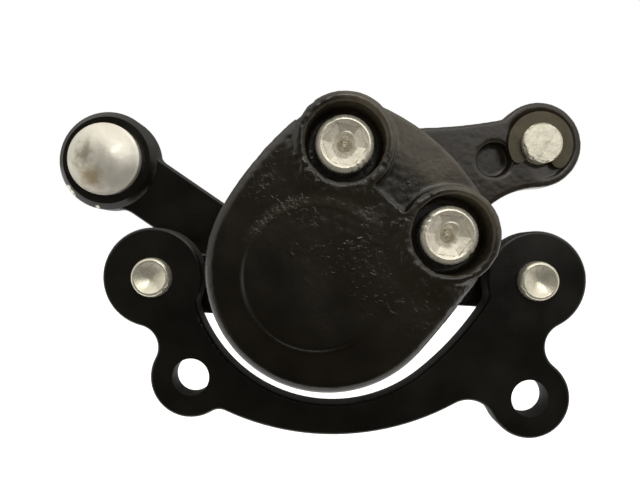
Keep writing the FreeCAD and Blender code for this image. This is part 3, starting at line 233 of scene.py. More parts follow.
def relief(tree, place, layers):
    """Raise a surface by layers of noise: each a width in mm, detail, distortion and height in mm."""
    under = None
    for size_mm, detail, distortion, height_mm in layers:
        lumps = add_node(tree, "ShaderNodeTexNoise", {
            "Vector": place, "Scale": per_metre(size_mm), "Detail": detail, "Distortion": distortion})
        under = add_node(tree, "ShaderNodeBump", {
            "Height": lumps, "Distance": height_mm * MM, "Strength": 1.0, "Normal": under})
    return under


def spot(tree, place, x, y, z, reach_mm, ragged_mm, soft=0.2):
    """1 within a ragged spot about a point given in millimetres, 0 outside it."""
    away = add_node(tree, "ShaderNodeVectorMath", (place, (x * MM, y * MM, z * MM)),
                    operation="DISTANCE").outputs["Value"]
    ragged = mottle(tree, place, ragged_mm * 1.5, -ragged_mm * MM, ragged_mm * MM)
    edge = add_node(tree, "ShaderNodeMath", (away, ragged), operation="ADD")
    return add_node(tree, "ShaderNodeMapRange", (
        edge, reach_mm * MM, reach_mm * (1 - soft) * MM, 0.0, 1.0), interpolation_type="SMOOTHSTEP")


def beyond(tree, place, way, low_mm, high_mm):
    """0 before a slanted line over the front, 1 after it. way is its direction, across and up."""
    along = add_node(tree, "ShaderNodeVectorMath", (place, (way[0], 0.0, way[1])),
                     operation="DOT_PRODUCT").outputs["Value"]
    return add_node(tree, "ShaderNodeMapRange", (along, low_mm * MM, high_mm * MM, 0.0, 1.0),
                    interpolation_type="SMOOTHSTEP")


def about_axis(tree, place, axis, near_mm, far_mm, start, end):
    """A ring about an axis along depth: start up to its near radius, end from its far radius on."""
    flat = add_node(tree, "ShaderNodeVectorMath", (place, (1.0, 0.0, 1.0)), operation="MULTIPLY")
    away = add_node(tree, "ShaderNodeVectorMath", (flat, (axis[0] * MM, 0.0, axis[1] * MM)),
                    operation="DISTANCE").outputs["Value"]
    return add_node(tree, "ShaderNodeMapRange", (away, near_mm * MM, far_mm * MM, start, end),
                    interpolation_type="SMOOTHSTEP")


def grains(tree, place, grain_mm, patch_mm, low, high):
    """Ragged grains about so many millimetres wide, in patches with smooth paint between them."""
    shares = []
    for size_mm, distortion, start, end in ((grain_mm, 0.6, low, high), (patch_mm, 0.0, 0.48, 0.62)):
        lumps = add_node(tree, "ShaderNodeTexNoise", {
            "Vector": place, "Scale": per_metre(size_mm), "Detail": 2.0, "Distortion": distortion})
        shares.append(add_node(tree, "ShaderNodeMapRange", (lumps, start, end, 0.0, 1.0),
                               interpolation_type="SMOOTHSTEP"))
    return add_node(tree, "ShaderNodeMath", shares, operation="MULTIPLY")


def painted(name, colour, roughness, ior, peel_mm, peel_height, grit_mm, grit_height, worn=(),
            dusted_and_lit=None, sheared=0.0):
    """Paint on metal: slow changes of tone and gloss, orange peel and fine grit.

    worn lists spots where bare metal shows, dusted_and_lit gives a lighter colour that the paint takes
    towards the web and the cable's lug at the upper right, partly thinner, dusted paint and partly
    painted light from that side, and sheared says how much duller the paint is on a plate's cut edges
    than on its faces.
    Real grit is finer than the render shows, so it is drawn 0.3 mm wide or more.
    """
    material, tree, shader, place = new_material(name)
    tone = mottle(tree, place, 9.0, 0.7, 1.4, detail=4.0)
    paint = add_node(tree, "ShaderNodeMix", {0: 1.0, 6: colour, 7: tone},
                     data_type="RGBA", blend_type="MULTIPLY").outputs[2]
    # Painted light, in part: the paint turns lighter towards the upper right, over the web and the lug,
    # for thinner, dusted paint and for the light from that side
    if dusted_and_lit is not None:
        lightened_share = add_node(tree, "ShaderNodeMath", (
            beyond(tree, place, TO_WEB, WEB_START, 38.5),
            mottle(tree, place, 3.0, 0.55, 1.25, detail=4.0)), operation="MULTIPLY")
        paint = add_node(tree, "ShaderNodeMix", {0: lightened_share, 6: paint, 7: dusted_and_lit},
                         data_type="RGBA").outputs[2]
    gloss = add_node(tree, "ShaderNodeMapRange", (tone, 0.7, 1.4, roughness - 0.06, roughness + 0.07))
    if sheared:
        turned = add_node(tree, "ShaderNodeTexCoord").outputs["Normal"]
        depthwise = add_node(tree, "ShaderNodeSeparateXYZ", (turned,)).outputs["Y"]
        flat = add_node(tree, "ShaderNodeMath", (depthwise,), operation="ABSOLUTE")
        duller = add_node(tree, "ShaderNodeMapRange", (flat, 0.2, 0.6, sheared, 0.0))
        gloss = add_node(tree, "ShaderNodeMath", (gloss, duller), operation="ADD")
    bare = None
    for x, y, z, reach in worn:
        chip = spot(tree, place, x, y, z, reach, reach * 0.45)
        if bare is not None:
            chip = add_node(tree, "ShaderNodeMath", (bare, chip), operation="MAXIMUM")
        bare = chip
    if bare is not None:
        paint = add_node(tree, "ShaderNodeMix", {0: bare, 6: paint, 7: linear("c4bfb2")},
                         data_type="RGBA").outputs[2]
    surface = relief(tree, place, ((peel_mm, 2.0, 0.0, peel_height), (grit_mm, 3.0, 0.0, grit_height)))
    plug(tree, shader, {
        "Base Color": paint, "Metallic": bare, "Roughness": gloss, "Normal": surface, "IOR": ior})
    return material, tree, shader, place


def bare_metal(name, colour, roughness, blotch_mm, blotch_height, scratch_mm, scratch_height, tint=0.12,
               marks_and_shade=(), metallic=1.0):
    """Metal with no paint: blotches that bend its reflections, fine scratches, and any listed patches:
    old marks, and painted shade.

    Real scratches are finer than the render shows, so they are drawn 0.25 mm wide or more.
    """
    material, tree, shader, place = new_material(name)
    blotches = mottle(tree, place, blotch_mm, 1.0 - tint, 1.0, distortion=0.4)
    shade = add_node(tree, "ShaderNodeMix", {0: 1.0, 6: colour, 7: blotches},
                     data_type="RGBA", blend_type="MULTIPLY").outputs[2]
    # Listed patches of colour: old marks, and painted shade where a side lies in shadow
    for x, y, z, reach, patch_colour in marks_and_shade:
        patch_share = spot(tree, place, x, y, z, reach, reach * 0.3, soft=1.0)
        shade = add_node(tree, "ShaderNodeMix", {0: patch_share, 6: shade, 7: linear(patch_colour)},
                         data_type="RGBA").outputs[2]
    plug(tree, shader, {
        "Base Color": shade,
        "Metallic": metallic,
        "Roughness": mottle(tree, place, scratch_mm, roughness - 0.05, roughness + 0.07, detail=4.0),
        "Normal": relief(tree, place, (
            (blotch_mm, 3.0, 0.4, blotch_height), (scratch_mm, 4.0, 0.0, scratch_height)))})
    return material


# The stage

class CALIPER_OT_set_stage(bpy.types.Operator):
    """Camera at the photographed angle, a pale floor, two soft boxes and a light tent"""

    bl_idname = "caliper.set_stage"
    bl_label = "Set Stage"

    def execute(self, context):
        stage = context.scene.caliper_stage
        self.camera(context, stage)
        self.floor(context)
        self.soft_box(context, stage)
        self.world(context, stage)
        context.scene.view_settings.view_transform = "Standard"
        return {"FINISHED"}

    def camera(self, context, stage):
        data = bpy.data.cameras.new("photo_camera")
        data.lens = stage.lens
        data.sensor_width = 36.0
        data.clip_start = 0.005
        data.clip_end = 20.0
        camera = bpy.data.objects.new("photo_camera", data)
        context.scene.collection.objects.link(camera)
        lean = stage.camera_roll
        right = Vector((math.cos(lean), 0.0, math.sin(lean)))
        up = Vector((-math.sin(lean), 0.0, math.cos(lean)))
        across, height = -9.73 * MM, 26.61 * MM
        turned = Matrix((right, up, (0.0, -1.0, 0.0))).transposed().to_4x4()
        camera.matrix_world = Matrix.Translation((across, -stage.camera_distance, height)) @ turned
        context.scene.camera = camera

    def floor(self, context):
        mesh = bpy.data.meshes.new("floor")
        shape = bmesh.new()
        reach = 3.0
        bmesh.ops.create_grid(shape, x_segments=1, y_segments=1, size=reach)
        shape.to_mesh(mesh)
        shape.free()
        floor = bpy.data.objects.new("floor", mesh)
        # It starts just before the caliper, so the front faces mirror the dim room and not the paper
        in_front, below = 0.045, 0.06
        floor.location = (0.0, reach - in_front, -below)
        context.scene.collection.objects.link(floor)
        # Matt white paper. The camera and reflections see it brighter than the lamps make it
        material, tree, shader, _ = new_material("white_paper")
        plug(tree, shader, {"Base Color": (0.8, 0.8, 0.8, 1.0), "Roughness": 0.9})
        path = add_node(tree, "ShaderNodeLightPath")
        seen = add_node(tree, "ShaderNodeMath", (
            path.outputs["Is Camera Ray"], path.outputs["Is Glossy Ray"]), operation="MAXIMUM")
        seen = add_node(tree, "ShaderNodeMath", (
            seen, path.outputs["Is Transmission Ray"]), operation="MAXIMUM")
        glow = add_node(tree, "ShaderNodeEmission", {"Color": (1.0, 1.0, 1.0, 1.0), "Strength": 0.7})
        lit = add_node(tree, "ShaderNodeAddShader", (shader, glow))
        plug(tree, tree.nodes["Material Output"], {
            "Surface": add_node(tree, "ShaderNodeMixShader", (seen, shader, lit))})
        mesh.materials.append(material)

    def soft_box(self, context, stage):
        """Soft boxes above the camera: a large one to its right, and a smaller, brighter one over it."""
        for name, place, width, height, glow in (
            ("soft_box_right", (0.25, -0.52, 0.285), 0.42, 0.34, stage.soft_box_glow),
            ("soft_box_over", (0.02, -0.52, 0.33), 0.15, 0.13, stage.soft_box_glow * 4.6),
        ):
            data = bpy.data.lights.new(name, "AREA")
            data.shape = "RECTANGLE"
            data.size = width
            data.size_y = height
            data.energy = glow * math.pi * width * height
            data.color = (1.0, 0.985, 0.95)
            lamp = bpy.data.objects.new(name, data)
            lamp.matrix_world = Matrix.Translation(place) @ Matrix.Rotation(math.radians(90), 4, "X")
            context.scene.collection.objects.link(lamp)

    def world(self, context, stage):
        """A light tent: pale overhead and at the sides, dimmer behind, dark in front and below."""
        world = bpy.data.worlds.new("light_tent")
        world.use_nodes = True
        context.scene.world = world
        tree = world.node_tree
        path = add_node(tree, "ShaderNodeLightPath")
        place = add_node(tree, "ShaderNodeTexCoord").outputs["Generated"]
        parts = add_node(tree, "ShaderNodeSeparateXYZ", (place,))
        opening, overhead, behind, below = [
            add_node(tree, "ShaderNodeMapRange", (parts.outputs[side], low, high, start, end),
                     interpolation_type="SMOOTHSTEP")
            for side, low, high, start, end in (
                ("Y", -0.94, -0.35, 0.06, 0.9),
                ("Z", 0.3, 0.65, 0.0, 1.3),
                ("Y", 0.0, 0.7, 1.0, 0.3),
                ("Z", -0.6, -0.05, 0.12, 1.0),
            )]
        bright = add_node(tree, "ShaderNodeMath", (opening, overhead), operation="MAXIMUM")
        bright = add_node(tree, "ShaderNodeMath", (bright, behind), operation="MULTIPLY")
        bright = add_node(tree, "ShaderNodeMath", (bright, below), operation="MULTIPLY")
        level = add_node(tree, "ShaderNodeMix", {
            0: path.outputs["Is Glossy Ray"], 2: stage.room_light, 3: bright}, data_type="FLOAT")
        # What looks straight at the tent, or through something, sees plain white
        plain = add_node(tree, "ShaderNodeMath", (
            path.outputs["Is Camera Ray"], path.outputs["Is Transmission Ray"]), operation="MAXIMUM")
        level = add_node(tree, "ShaderNodeMix", {0: plain, 2: level, 3: 1.0}, data_type="FLOAT")
        tint = add_node(tree, "ShaderNodeMix", {
            0: plain, 6: (1.0, 0.97, 0.90, 1.0), 7: (1.0, 1.0, 1.0, 1.0)}, data_type="RGBA").outputs[2]
        plug(tree, tree.nodes["Background"], {"Color": tint, "Strength": level})


# The two castings

def smooth_copy(node, voxel, reshape, softness):
    """The node's shape on an even mesh, reshaped, its cast edges soft and its machined places kept."""
    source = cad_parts[node]
    scratch = bpy.data.objects.new(node + "_scratch", source.data.copy())
    bpy.context.scene.collection.objects.link(scratch)
    remesh = scratch.modifiers.new("Even", "REMESH")
    remesh.mode = "VOXEL"
    remesh.voxel_size = voxel
    remesh.use_smooth_shade = True
    even = bpy.data.meshes.new_from_object(scratch.evaluated_get(bpy.context.evaluated_depsgraph_get()))
    scratch.modifiers.clear()
    scratch.data = even
    points = np.empty(len(even.vertices) * 3)
    even.vertices.foreach_get("co", points)
    points = (reshape(points.reshape(-1, 3) / MM) * MM).ravel()
    even.vertices.foreach_set("co", points)
    weights = softness(points.reshape(-1, 3) / MM)
    group = scratch.vertex_groups.new(name="cast")
    steps = 10
    levels = np.round(weights * steps).astype(int)
    for level in range(1, steps + 1):
        members = np.nonzero(levels == level)[0].tolist()
        if members:
            group.add(members, level / steps, "REPLACE")
    soften = scratch.modifiers.new("Soften", "SMOOTH")
    soften.factor = 0.5
    soften.iterations = 12
    soften.vertex_group = "cast"
    mesh = bpy.data.meshes.new_from_object(scratch.evaluated_get(bpy.context.evaluated_depsgraph_get()))
    bpy.data.objects.remove(scratch)
    return mesh, weights


def ramp(values, low, high):
    """0 below low, 1 above high, with a gentle start and end between them."""
    t = np.clip((values - low) / (high - low), 0.0, 1.0)
    return t * t * (3 - 2 * t)


def from_axis(points, axis):
    """How far each point is from an axis along depth."""
    return np.hypot(points[:, 0] - axis[0], points[:, 2] - axis[1])


def along(points, way, start=(0.0, 0.0)):
    """How far each point lies from a start, in a direction over the front."""
    return (points[:, 0] - start[0]) * way[0] + (points[:, 2] - start[1]) * way[1]


def raise_lumps(mesh, weights, lump, relief, strength):
    """Move the surface in and out by a cast metal's lumps and small pits."""
    count = len(mesh.vertices)
    points = np.empty(count * 3)
    normals = np.empty(count * 3)
    mesh.vertices.foreach_get("co", points)
    mesh.vertex_normals.foreach_get("vector", normals)
    points = points.reshape(-1, 3)
    normals = normals.reshape(-1, 3)
    share = strength(points / MM) * weights
    heights = np.zeros(count)
    lump_height, pit_depth, pit_spread = 0.6, 1.6, 0.12
    elsewhere = Vector((7.0, 3.0, 5.0))
    for i in np.nonzero(share > 0.01)[0]:
        at = Vector(points[i]) / lump
        rough = noise.fractal(at, 0.8, 2.2, 3)
        pit = max(0.0, noise.noise(at * 1.7 + elsewhere) - pit_spread)
        heights[i] = rough * lump_height - pit * pit_depth
    points += normals * (heights * share * relief)[:, None]
    mesh.vertices.foreach_set("co", points.ravel())
    mesh.update()


def blend_front(points):
    """Run the screws' bosses into the pad's face, and let the pad's ring fade out at its upper right."""
    depth = points[:, 1]
    face = depth.copy()
    fade = ramp(along(points, TO_ROUGH, SHAFT), -11.0, 3.0)
    on_pad = (depth < PAD_FACE) & (from_axis(points, SHAFT) < RING_OUTSIDE)
    for bolt in (UPPER_BOLT, LOWER_BOLT):
        on_pad &= from_axis(points, bolt) > BOSS_RADIUS
    face = np.where(on_pad, PAD_FACE + (face - PAD_FACE) * (1 - fade), face)
    for bolt in (UPPER_BOLT, LOWER_BOLT):
        reach = from_axis(points, bolt)
        inward = Vector((SHAFT[0] - bolt[0], SHAFT[1] - bolt[1])).normalized()
        toward = along(points, inward, bolt) / np.maximum(reach, 0.1)
        slope = PAD_FACE - ramp(toward, 0.1, 0.5) * (1 - ramp(reach, BOSS_TOP, BOSS_FOOT))
        outside_pit = (depth < PAD_FACE + 0.2) & (reach > 7.0)
        face = np.where(outside_pit, np.minimum(face, slope), face)
    return np.stack((points[:, 0], face, points[:, 2]), axis=1)


def blend_rear(points):
    """Sink the clip's seat a little into the lug's face, deepest at its upper right."""
    depth = points[:, 1]
    seat_depth, seat_inside, seat_outside = 0.4, 6.8, 7.2
    sunk = seat_depth * (1 - ramp(from_axis(points, LUG_PIN), seat_inside, seat_outside))
    sunk = sunk * ramp(along(points, (0.8, 0.6), LUG_PIN), -4.5, -1.0)
    lug_face = (depth > -4.4) & (depth < -3.4)
    seat = np.where(lug_face, depth + sunk, depth)
    return np.stack((points[:, 0], seat, points[:, 2]), axis=1)


def front_cast(points):
    """How far each point of the front half is as cast, not machined."""
    depth = points[:, 1]
    keep = 0.45 * ramp(-depth, -MATING_FACE, 0.55 - MATING_FACE)
    for bolt in (UPPER_BOLT, LOWER_BOLT):
        reach = from_axis(points, bolt)
        boss_rim = (reach > 6.0) & (reach < 9.5) & (depth < -24.6)
        pit_wall = (reach < PIT_RADIUS) & (depth > RING_FOOT)
        keep = np.where(boss_rim, 1.0, keep) * np.where(pit_wall, 0.0, 1.0)
    reach = from_axis(points, SHAFT)
    ring = (reach > RING_INSIDE) & (reach < RING_OUTSIDE) & (depth < RING_FOOT)
    web = (along(points, TO_WEB) > 36.0) & (depth > -23.4) & (depth < -21.0)
    return np.where(ring | web, keep * 0.3, keep)


def rear_cast(points):
    """How far each point of the rear half is as cast, not machined."""
    depth = points[:, 1]
    from_shaft = from_axis(points, SHAFT)
    keep = np.full(len(points), 0.6)
    for axis, hole in (
        (UPPER_BOLT, 3.4), (LOWER_BOLT, 3.4), (LEFT_PIN, 4.4), (RIGHT_PIN, 4.4), (LUG_PIN, 4.4),
    ):
        keep = keep * ramp(from_axis(points, axis), hole, hole + 0.7)
    clip_seat = (depth < -3.0) & (from_axis(points, LUG_PIN) < 7.4)
    keep = np.where(clip_seat, keep * 0.15, keep)
    piston_bore = (from_shaft < 15.5) & (depth < 8.6) & (depth > -8.4)
    shaft_bore = (from_shaft < 8.6) & (depth > 9.6)
    disc_slot = (depth > -8.3) & (depth < -7.3) & (from_shaft < 22)
    keep = keep * ramp(depth, -14.1, -13.6)
    return np.where(piston_bore | shaft_bore | disc_slot, 0.0, keep)


class CALIPER_OT_dress_castings(bpy.types.Operator):
    """Front and rear half: enamel over rough cast aluminium, with soft edges and lumps"""

    bl_idname = "caliper.dress_castings"
    bl_label = "Dress Castings"

    def execute(self, context):
        finishes = context.scene.caliper_finishes
        details = context.scene.caliper_details
        for node, dusted_and_lit, reshape, softness, strength in (
            ("front_half", finishes.web_dusted_and_lit, blend_front, front_cast, self.front_strength),
            ("rear_half", finishes.lug_dusted_and_lit, blend_rear, rear_cast, self.rear_strength),
        ):
            # Black enamel sprayed on rough cast aluminium: a wet sheen broken up by grit and orange peel
            paint, tree, shader, place = painted(
                "enamel_on_cast_aluminium_" + node, finishes.cast_paint, finishes.cast_roughness,
                ior=1.5, peel_mm=0.9, peel_height=0.03, grit_mm=0.35, grit_height=0.006, dusted_and_lit=dusted_and_lit)
            if node == "front_half":
                self.add_grains(tree, shader, place, dusted_and_lit)
            mesh, weights = smooth_copy(node, details.cast_voxel, reshape, softness)
            raise_lumps(mesh, weights, details.cast_lump, details.cast_relief, strength)
            new_piece("cast_" + node, mesh, paint, "caliper", [node])
        return {"FINISHED"}

    def add_grains(self, tree, shader, place, lighter_colour):
        """Sand grains under the paint at the upper right and lumps over the pad's ring, with painted
        light on both and in the screws' pits.
        """
        off_web = add_node(tree, "ShaderNodeMapRange", (
            beyond(tree, place, TO_WEB, WEB_START, 36.5), 0.0, 1.0, 1.0, 0.12))
        rough = add_node(tree, "ShaderNodeMath", (beyond(tree, place, TO_ROUGH, 8.0, 22.0), off_web),
                         operation="MULTIPLY")
        ring = add_node(tree, "ShaderNodeMath", (
            about_axis(tree, place, SHAFT, RING_INSIDE, 12.4, 0.0, 1.0),
            about_axis(tree, place, SHAFT, 12.6, 14.4, 1.0, 0.0)), operation="MULTIPLY")
        ring = add_node(tree, "ShaderNodeMath", (ring, beyond(tree, place, (-0.2, 0.98), 30.0, 34.0)),
                        operation="MULTIPLY")
        lumps = add_node(tree, "ShaderNodeMath", (
            mottle(tree, place, 0.9, 0.2, 1.0, distortion=0.4), ring), operation="MULTIPLY")
        surface = shader.inputs["Normal"].links[0].from_socket
        for raised, height_mm in (
            (lumps, 0.16),
            (add_node(tree, "ShaderNodeMath", (
                grains(tree, place, 1.5, 5.0, 0.54, 0.76), rough), operation="MULTIPLY"), 0.09),
            (add_node(tree, "ShaderNodeMath", (
                grains(tree, place, 0.7, 4.0, 0.56, 0.76), rough), operation="MULTIPLY"), 0.05),
        ):
            surface = add_node(tree, "ShaderNodeBump", {
                "Height": raised, "Distance": height_mm * MM, "Strength": 1.0, "Normal": surface})
        # Painted light: lighter paint over the grains at the upper right and on the ring's lumps, as
        # their highlights, and on the walls of the screws' pits, as light from the right falling in
        lightened_share = add_node(tree, "ShaderNodeMath", (
            add_node(tree, "ShaderNodeMapRange", (rough, 0.0, 1.0, 0.0, 0.10)),
            add_node(tree, "ShaderNodeMapRange", (lumps, 0.0, 1.0, 0.0, 0.25))), operation="ADD")
        for bolt in (UPPER_BOLT, LOWER_BOLT):
            lightened_share = add_node(tree, "ShaderNodeMath", (
                lightened_share, about_axis(tree, place, bolt, 6.8, 7.2, 0.35, 0.0)), operation="MAXIMUM")
        paint = add_node(tree, "ShaderNodeMix", {
            0: lightened_share, 6: shader.inputs["Base Color"].links[0].from_socket, 7: lighter_colour}, data_type="RGBA")
        plug(tree, shader, {"Base Color": paint.outputs[2], "Normal": surface})

    def front_strength(self, points):
        """Rough about the screws and above the pad, smooth towards the lower left and on the web."""
        rough = 0.12 + 0.88 * ramp(along(points, TO_ROUGH, (-14.0, 24.0)), -2.0, 12.0)
        return rough * (1.0 - 0.7 * ramp(along(points, TO_WEB, UPPER_BOLT), 2.0, 3.5))

    def rear_strength(self, points):
        """The same everywhere, smoother than the front."""
        return np.full(len(points), 0.3)


# Plates

def rounded_copy(node, width):
    """The node's shape with its sharp edges rounded by so many millimetres."""
    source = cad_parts[node]
    scratch = bpy.data.objects.new(node + "_scratch", source.data.copy())
    bpy.context.scene.collection.objects.link(scratch)
    merge = scratch.modifiers.new("Merge", "WELD")
    merge.merge_threshold = 0.00001
    planar = scratch.modifiers.new("Planar", "DECIMATE")
    planar.decimate_type = "DISSOLVE"
    planar.angle_limit = math.radians(0.5)
    edges = scratch.modifiers.new("Edges", "BEVEL")
    edges.limit_method = "ANGLE"
    edges.angle_limit = math.radians(35)
    edges.width = width * MM
    edges.segments = 3
    edges.harden_normals = True
    mesh = bpy.data.meshes.new_from_object(scratch.evaluated_get(bpy.context.evaluated_depsgraph_get()))
    bpy.data.objects.remove(scratch)
    return mesh


class CALIPER_OT_dress_plates(bpy.types.Operator):
    """Bracket and lever: a smooth black coat on stamped and forged steel"""

    bl_idname = "caliper.dress_plates"
    bl_label = "Dress Bracket and Lever"

    def execute(self, context):
        finishes = context.scene.caliper_finishes
        # Electrocoat on stamped steel plate: an even satin black that follows the plate
        coat = painted("electrocoat_on_steel_plate", finishes.plate_paint, finishes.plate_roughness,
                       ior=1.45, peel_mm=1.4, peel_height=0.010, grit_mm=0.3, grit_height=0.001,
                       sheared=0.45)[0]
        new_piece("coated_mounting_bracket", rounded_copy("mounting_bracket", 0.35), coat, "bracket",
                  ["mounting_bracket"])
        # Gloss paint on a forged lever, darker and smoother than the castings
        chips = ((-68.9, 14.3, 37.9, 0.8), (-68.2, 14.3, 36.8, 0.7), (-67.6, 14.3, 36.1, 0.4),
                 (-61.9, 14.3, 33.9, 0.5))
        gloss = painted("gloss_paint_on_forged_steel", finishes.plate_paint,
                        finishes.plate_roughness - 0.05, ior=1.45, peel_mm=2.2, peel_height=0.015,
                        grit_mm=0.3, grit_height=0.001, worn=chips, sheared=0.3)[0]
        new_piece("painted_actuator_lever", rounded_copy("actuator_lever", 0.3), gloss, "lever",
                  ["actuator_lever"])
        return {"FINISHED"}


# Screws

def lathe(rings, turns):
    """A closed mesh of rings about the Y axis. Depths and radii are numbers or follow the angle."""
    shape = bmesh.new()
    rows = []
    for depth, radius in rings:
        row = []
        for k in range(turns):
            angle = 2 * math.pi * k / turns
            reach = radius(angle) if callable(radius) else radius
            level = depth(angle) if callable(depth) else depth
            row.append(shape.verts.new((reach * math.cos(angle), level, reach * math.sin(angle))))
        rows.append(row)
    return skin(shape, rows)


def skin(shape, rows):
    """Join rows of points, each a closed loop, into one closed surface."""
    turns = len(rows[0])
    for before, after in zip(rows, rows[1:]):
        for k in range(turns):
            j = (k + 1) % turns
            shape.faces.new((before[k], before[j], after[j], after[k]))
    shape.faces.new(rows[0])
    shape.faces.new(reversed(rows[-1]))
    bmesh.ops.recalc_face_normals(shape, faces=shape.faces)
    return shape


def finish_mesh(shape, name, axis, turn=0.0):
    """Turn the shape about its axis, put it in place in metres and shade it smooth up to an angle."""
    shape.transform(Matrix.Scale(MM, 4) @ Matrix.Translation((axis[0], 0.0, axis[1]))
                    @ Matrix.Rotation(-turn, 4, "Y"))
    mesh = bpy.data.meshes.new(name)
    shape.to_mesh(mesh)
    shape.free()
    mesh.shade_smooth()
    mesh.set_sharp_from_angle(angle=math.radians(38))
    return mesh


def hexagon(corner, roundness):
    """Radius by angle of a hexagon with a corner at angle 0, drawn part of the way to a circle."""
    def radius(angle):
        inside = (angle % (math.pi / 3)) - math.pi / 6
        flat = corner * math.cos(math.pi / 6)
        return (1 - roundness) * flat / math.cos(inside) + roundness * (flat + corner) / 2
    return radius


def nicked(radius, nicks):
    """A radius by angle with dents. Each nick is its angle and half width in degrees, and its depth."""
    def dented(angle):
        reach = radius(angle) if callable(radius) else radius
        for at, width, depth in nicks:
            away = abs((math.degrees(angle) - at + 180) % 360 - 180) / width
            if away < 1:
                reach -= depth * (1 - away * away) ** 2
        return reach
    return dented


class CALIPER_OT_dress_body_bolts(bpy.types.Operator):
    """The two socket-head screws: knurled heads, sockets that slope down to a drilled middle"""

    bl_idname = "caliper.dress_body_bolts"
    bl_label = "Dress Body Bolts"

    def execute(self, context):
        details = context.scene.caliper_details
        # Zinc plate on cold-headed steel, with a film of white oxide: pale and warm, softly blotched
        zinc = bare_metal("zinc_plated_cold_headed_steel", context.scene.caliper_finishes.zinc, 0.24,
                          blotch_mm=1.6, blotch_height=0.07, scratch_mm=0.5, scratch_height=0.005,
                          tint=0.22, metallic=0.62)
        # The nicks in the edge of each head, and the shoulder that the heading punch left in its socket
        upper_nicks = ((-36, 6, 0.24), (-50, 5, 0.28), (-24, 4, 0.10), (-66, 4, 0.10), (128, 9, 0.10))
        lower_nicks = ((146, 8, 0.26), (163, 4, 0.12), (176, 6, 0.20), (-36, 7, 0.22), (-20, 4, 0.08))
        for node, axis, degrees, nicks, shoulder in (
            ("body_bolt_upper", UPPER_BOLT, -6.4, upper_nicks, (0.28, 1.07, 1.08)),
            ("body_bolt_lower", LOWER_BOLT, -2.4, lower_nicks, (0.36, 0.77, 1.42)),
        ):
            low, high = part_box(node)
            shape = self.screw(low.y / MM, high.y / MM, details, nicks)
            mesh = finish_mesh(shape, node + "_screw", axis, math.radians(degrees))
            new_piece(node + "_screw", mesh, zinc, "caliper", [node])
            shape = self.shoulder(low.y / MM, *shoulder)
            mesh = finish_mesh(shape, node + "_shoulder", axis)
            new_piece(node + "_shoulder", mesh, zinc, "caliper")
        return {"FINISHED"}

    def shoulder(self, front, across, up, radius):
        """A ridge along part of a circle off the axis, tapering to its ends, on the socket's slopes."""
        thick, steps, sides = 0.36, 32, 12
        start, sweep = -15, 210
        shape = bmesh.new()
        rows = []
        for step in range(steps + 1):
            angle = math.radians(start + sweep * step / steps)
            taper = max(0.05, math.sin(math.pi * step / steps)) ** 0.6
            from_middle = math.hypot(across + radius * math.cos(angle), up + radius * math.sin(angle))
            depth = front + SOCKET_BOTTOM - SOCKET_SLOPE * (max(from_middle, 1.2) - SOCKET_MIDDLE)
            row = []
            for k in range(sides):
                turn = 2 * math.pi * k / sides
                away = radius + thick * taper * math.cos(turn)
                row.append(shape.verts.new((across + away * math.cos(angle),
                                            depth + thick * taper * math.sin(turn),
                                            up + away * math.sin(angle))))
            rows.append(row)
        return skin(shape, rows)

    def screw(self, front, tip, details, nicks):
        """An M6 screw from its socket's middle out over the head and down the thread, as rings."""
        seat = front + 6.0
        thread = seat + 1.0
        corner = details.socket_mouth / MM / 2

        def knurled(angle):
            return 4.93 + 0.07 * math.cos(details.knurls * angle)

        rings = [
            (front + 4.25, 0.06),
            (front + 4.18, 0.20),
            (front + 3.95, 0.45),
            (front + 3.80, 0.62),
            (front + 3.76, 0.78),
            (front + 3.62, 0.95),
            (front + 3.00, 1.08),
            (front + 1.92, 1.22),
            (front + SOCKET_BOTTOM, hexagon(SOCKET_MIDDLE, 0.6)),
            (front + 1.06, hexagon(2.90, 0.05)),
            (front + 0.62, hexagon(corner + 0.25, 0.05)),
            (front + 0.30, hexagon(corner + 0.30, 0.10)),
            (front + 0.12, hexagon(corner + 0.42, 0.6)),
            (front + 0.05, 4.00),
            (front + 0.01, 4.06),
            (front, nicked(4.16, nicks)),
            (front + 0.09, nicked(4.42, nicks)),
            (front + 0.21, nicked(4.66, nicks)),
            (front + 0.36, nicked(4.86, nicks)),
            (front + 0.60, nicked(4.98, nicks)),
            (front + 0.90, nicked(5.00, nicks)),
            (front + 1.2, knurled),
            (seat - 0.5, knurled),
            (seat, 4.85),
            (seat, 3.0),
            (thread, 3.0),
        ]
        while thread < tip - 1.0:
            rings += [(thread + 0.1, 2.95), (thread + 0.5, 2.45), (thread + 0.9, 2.95)]
            thread += 1.0
        rings += [(tip - 0.5, 2.9), (tip, 2.4)]
        return lathe(rings, turns=216)


# Pins, clips and the lever's clamp

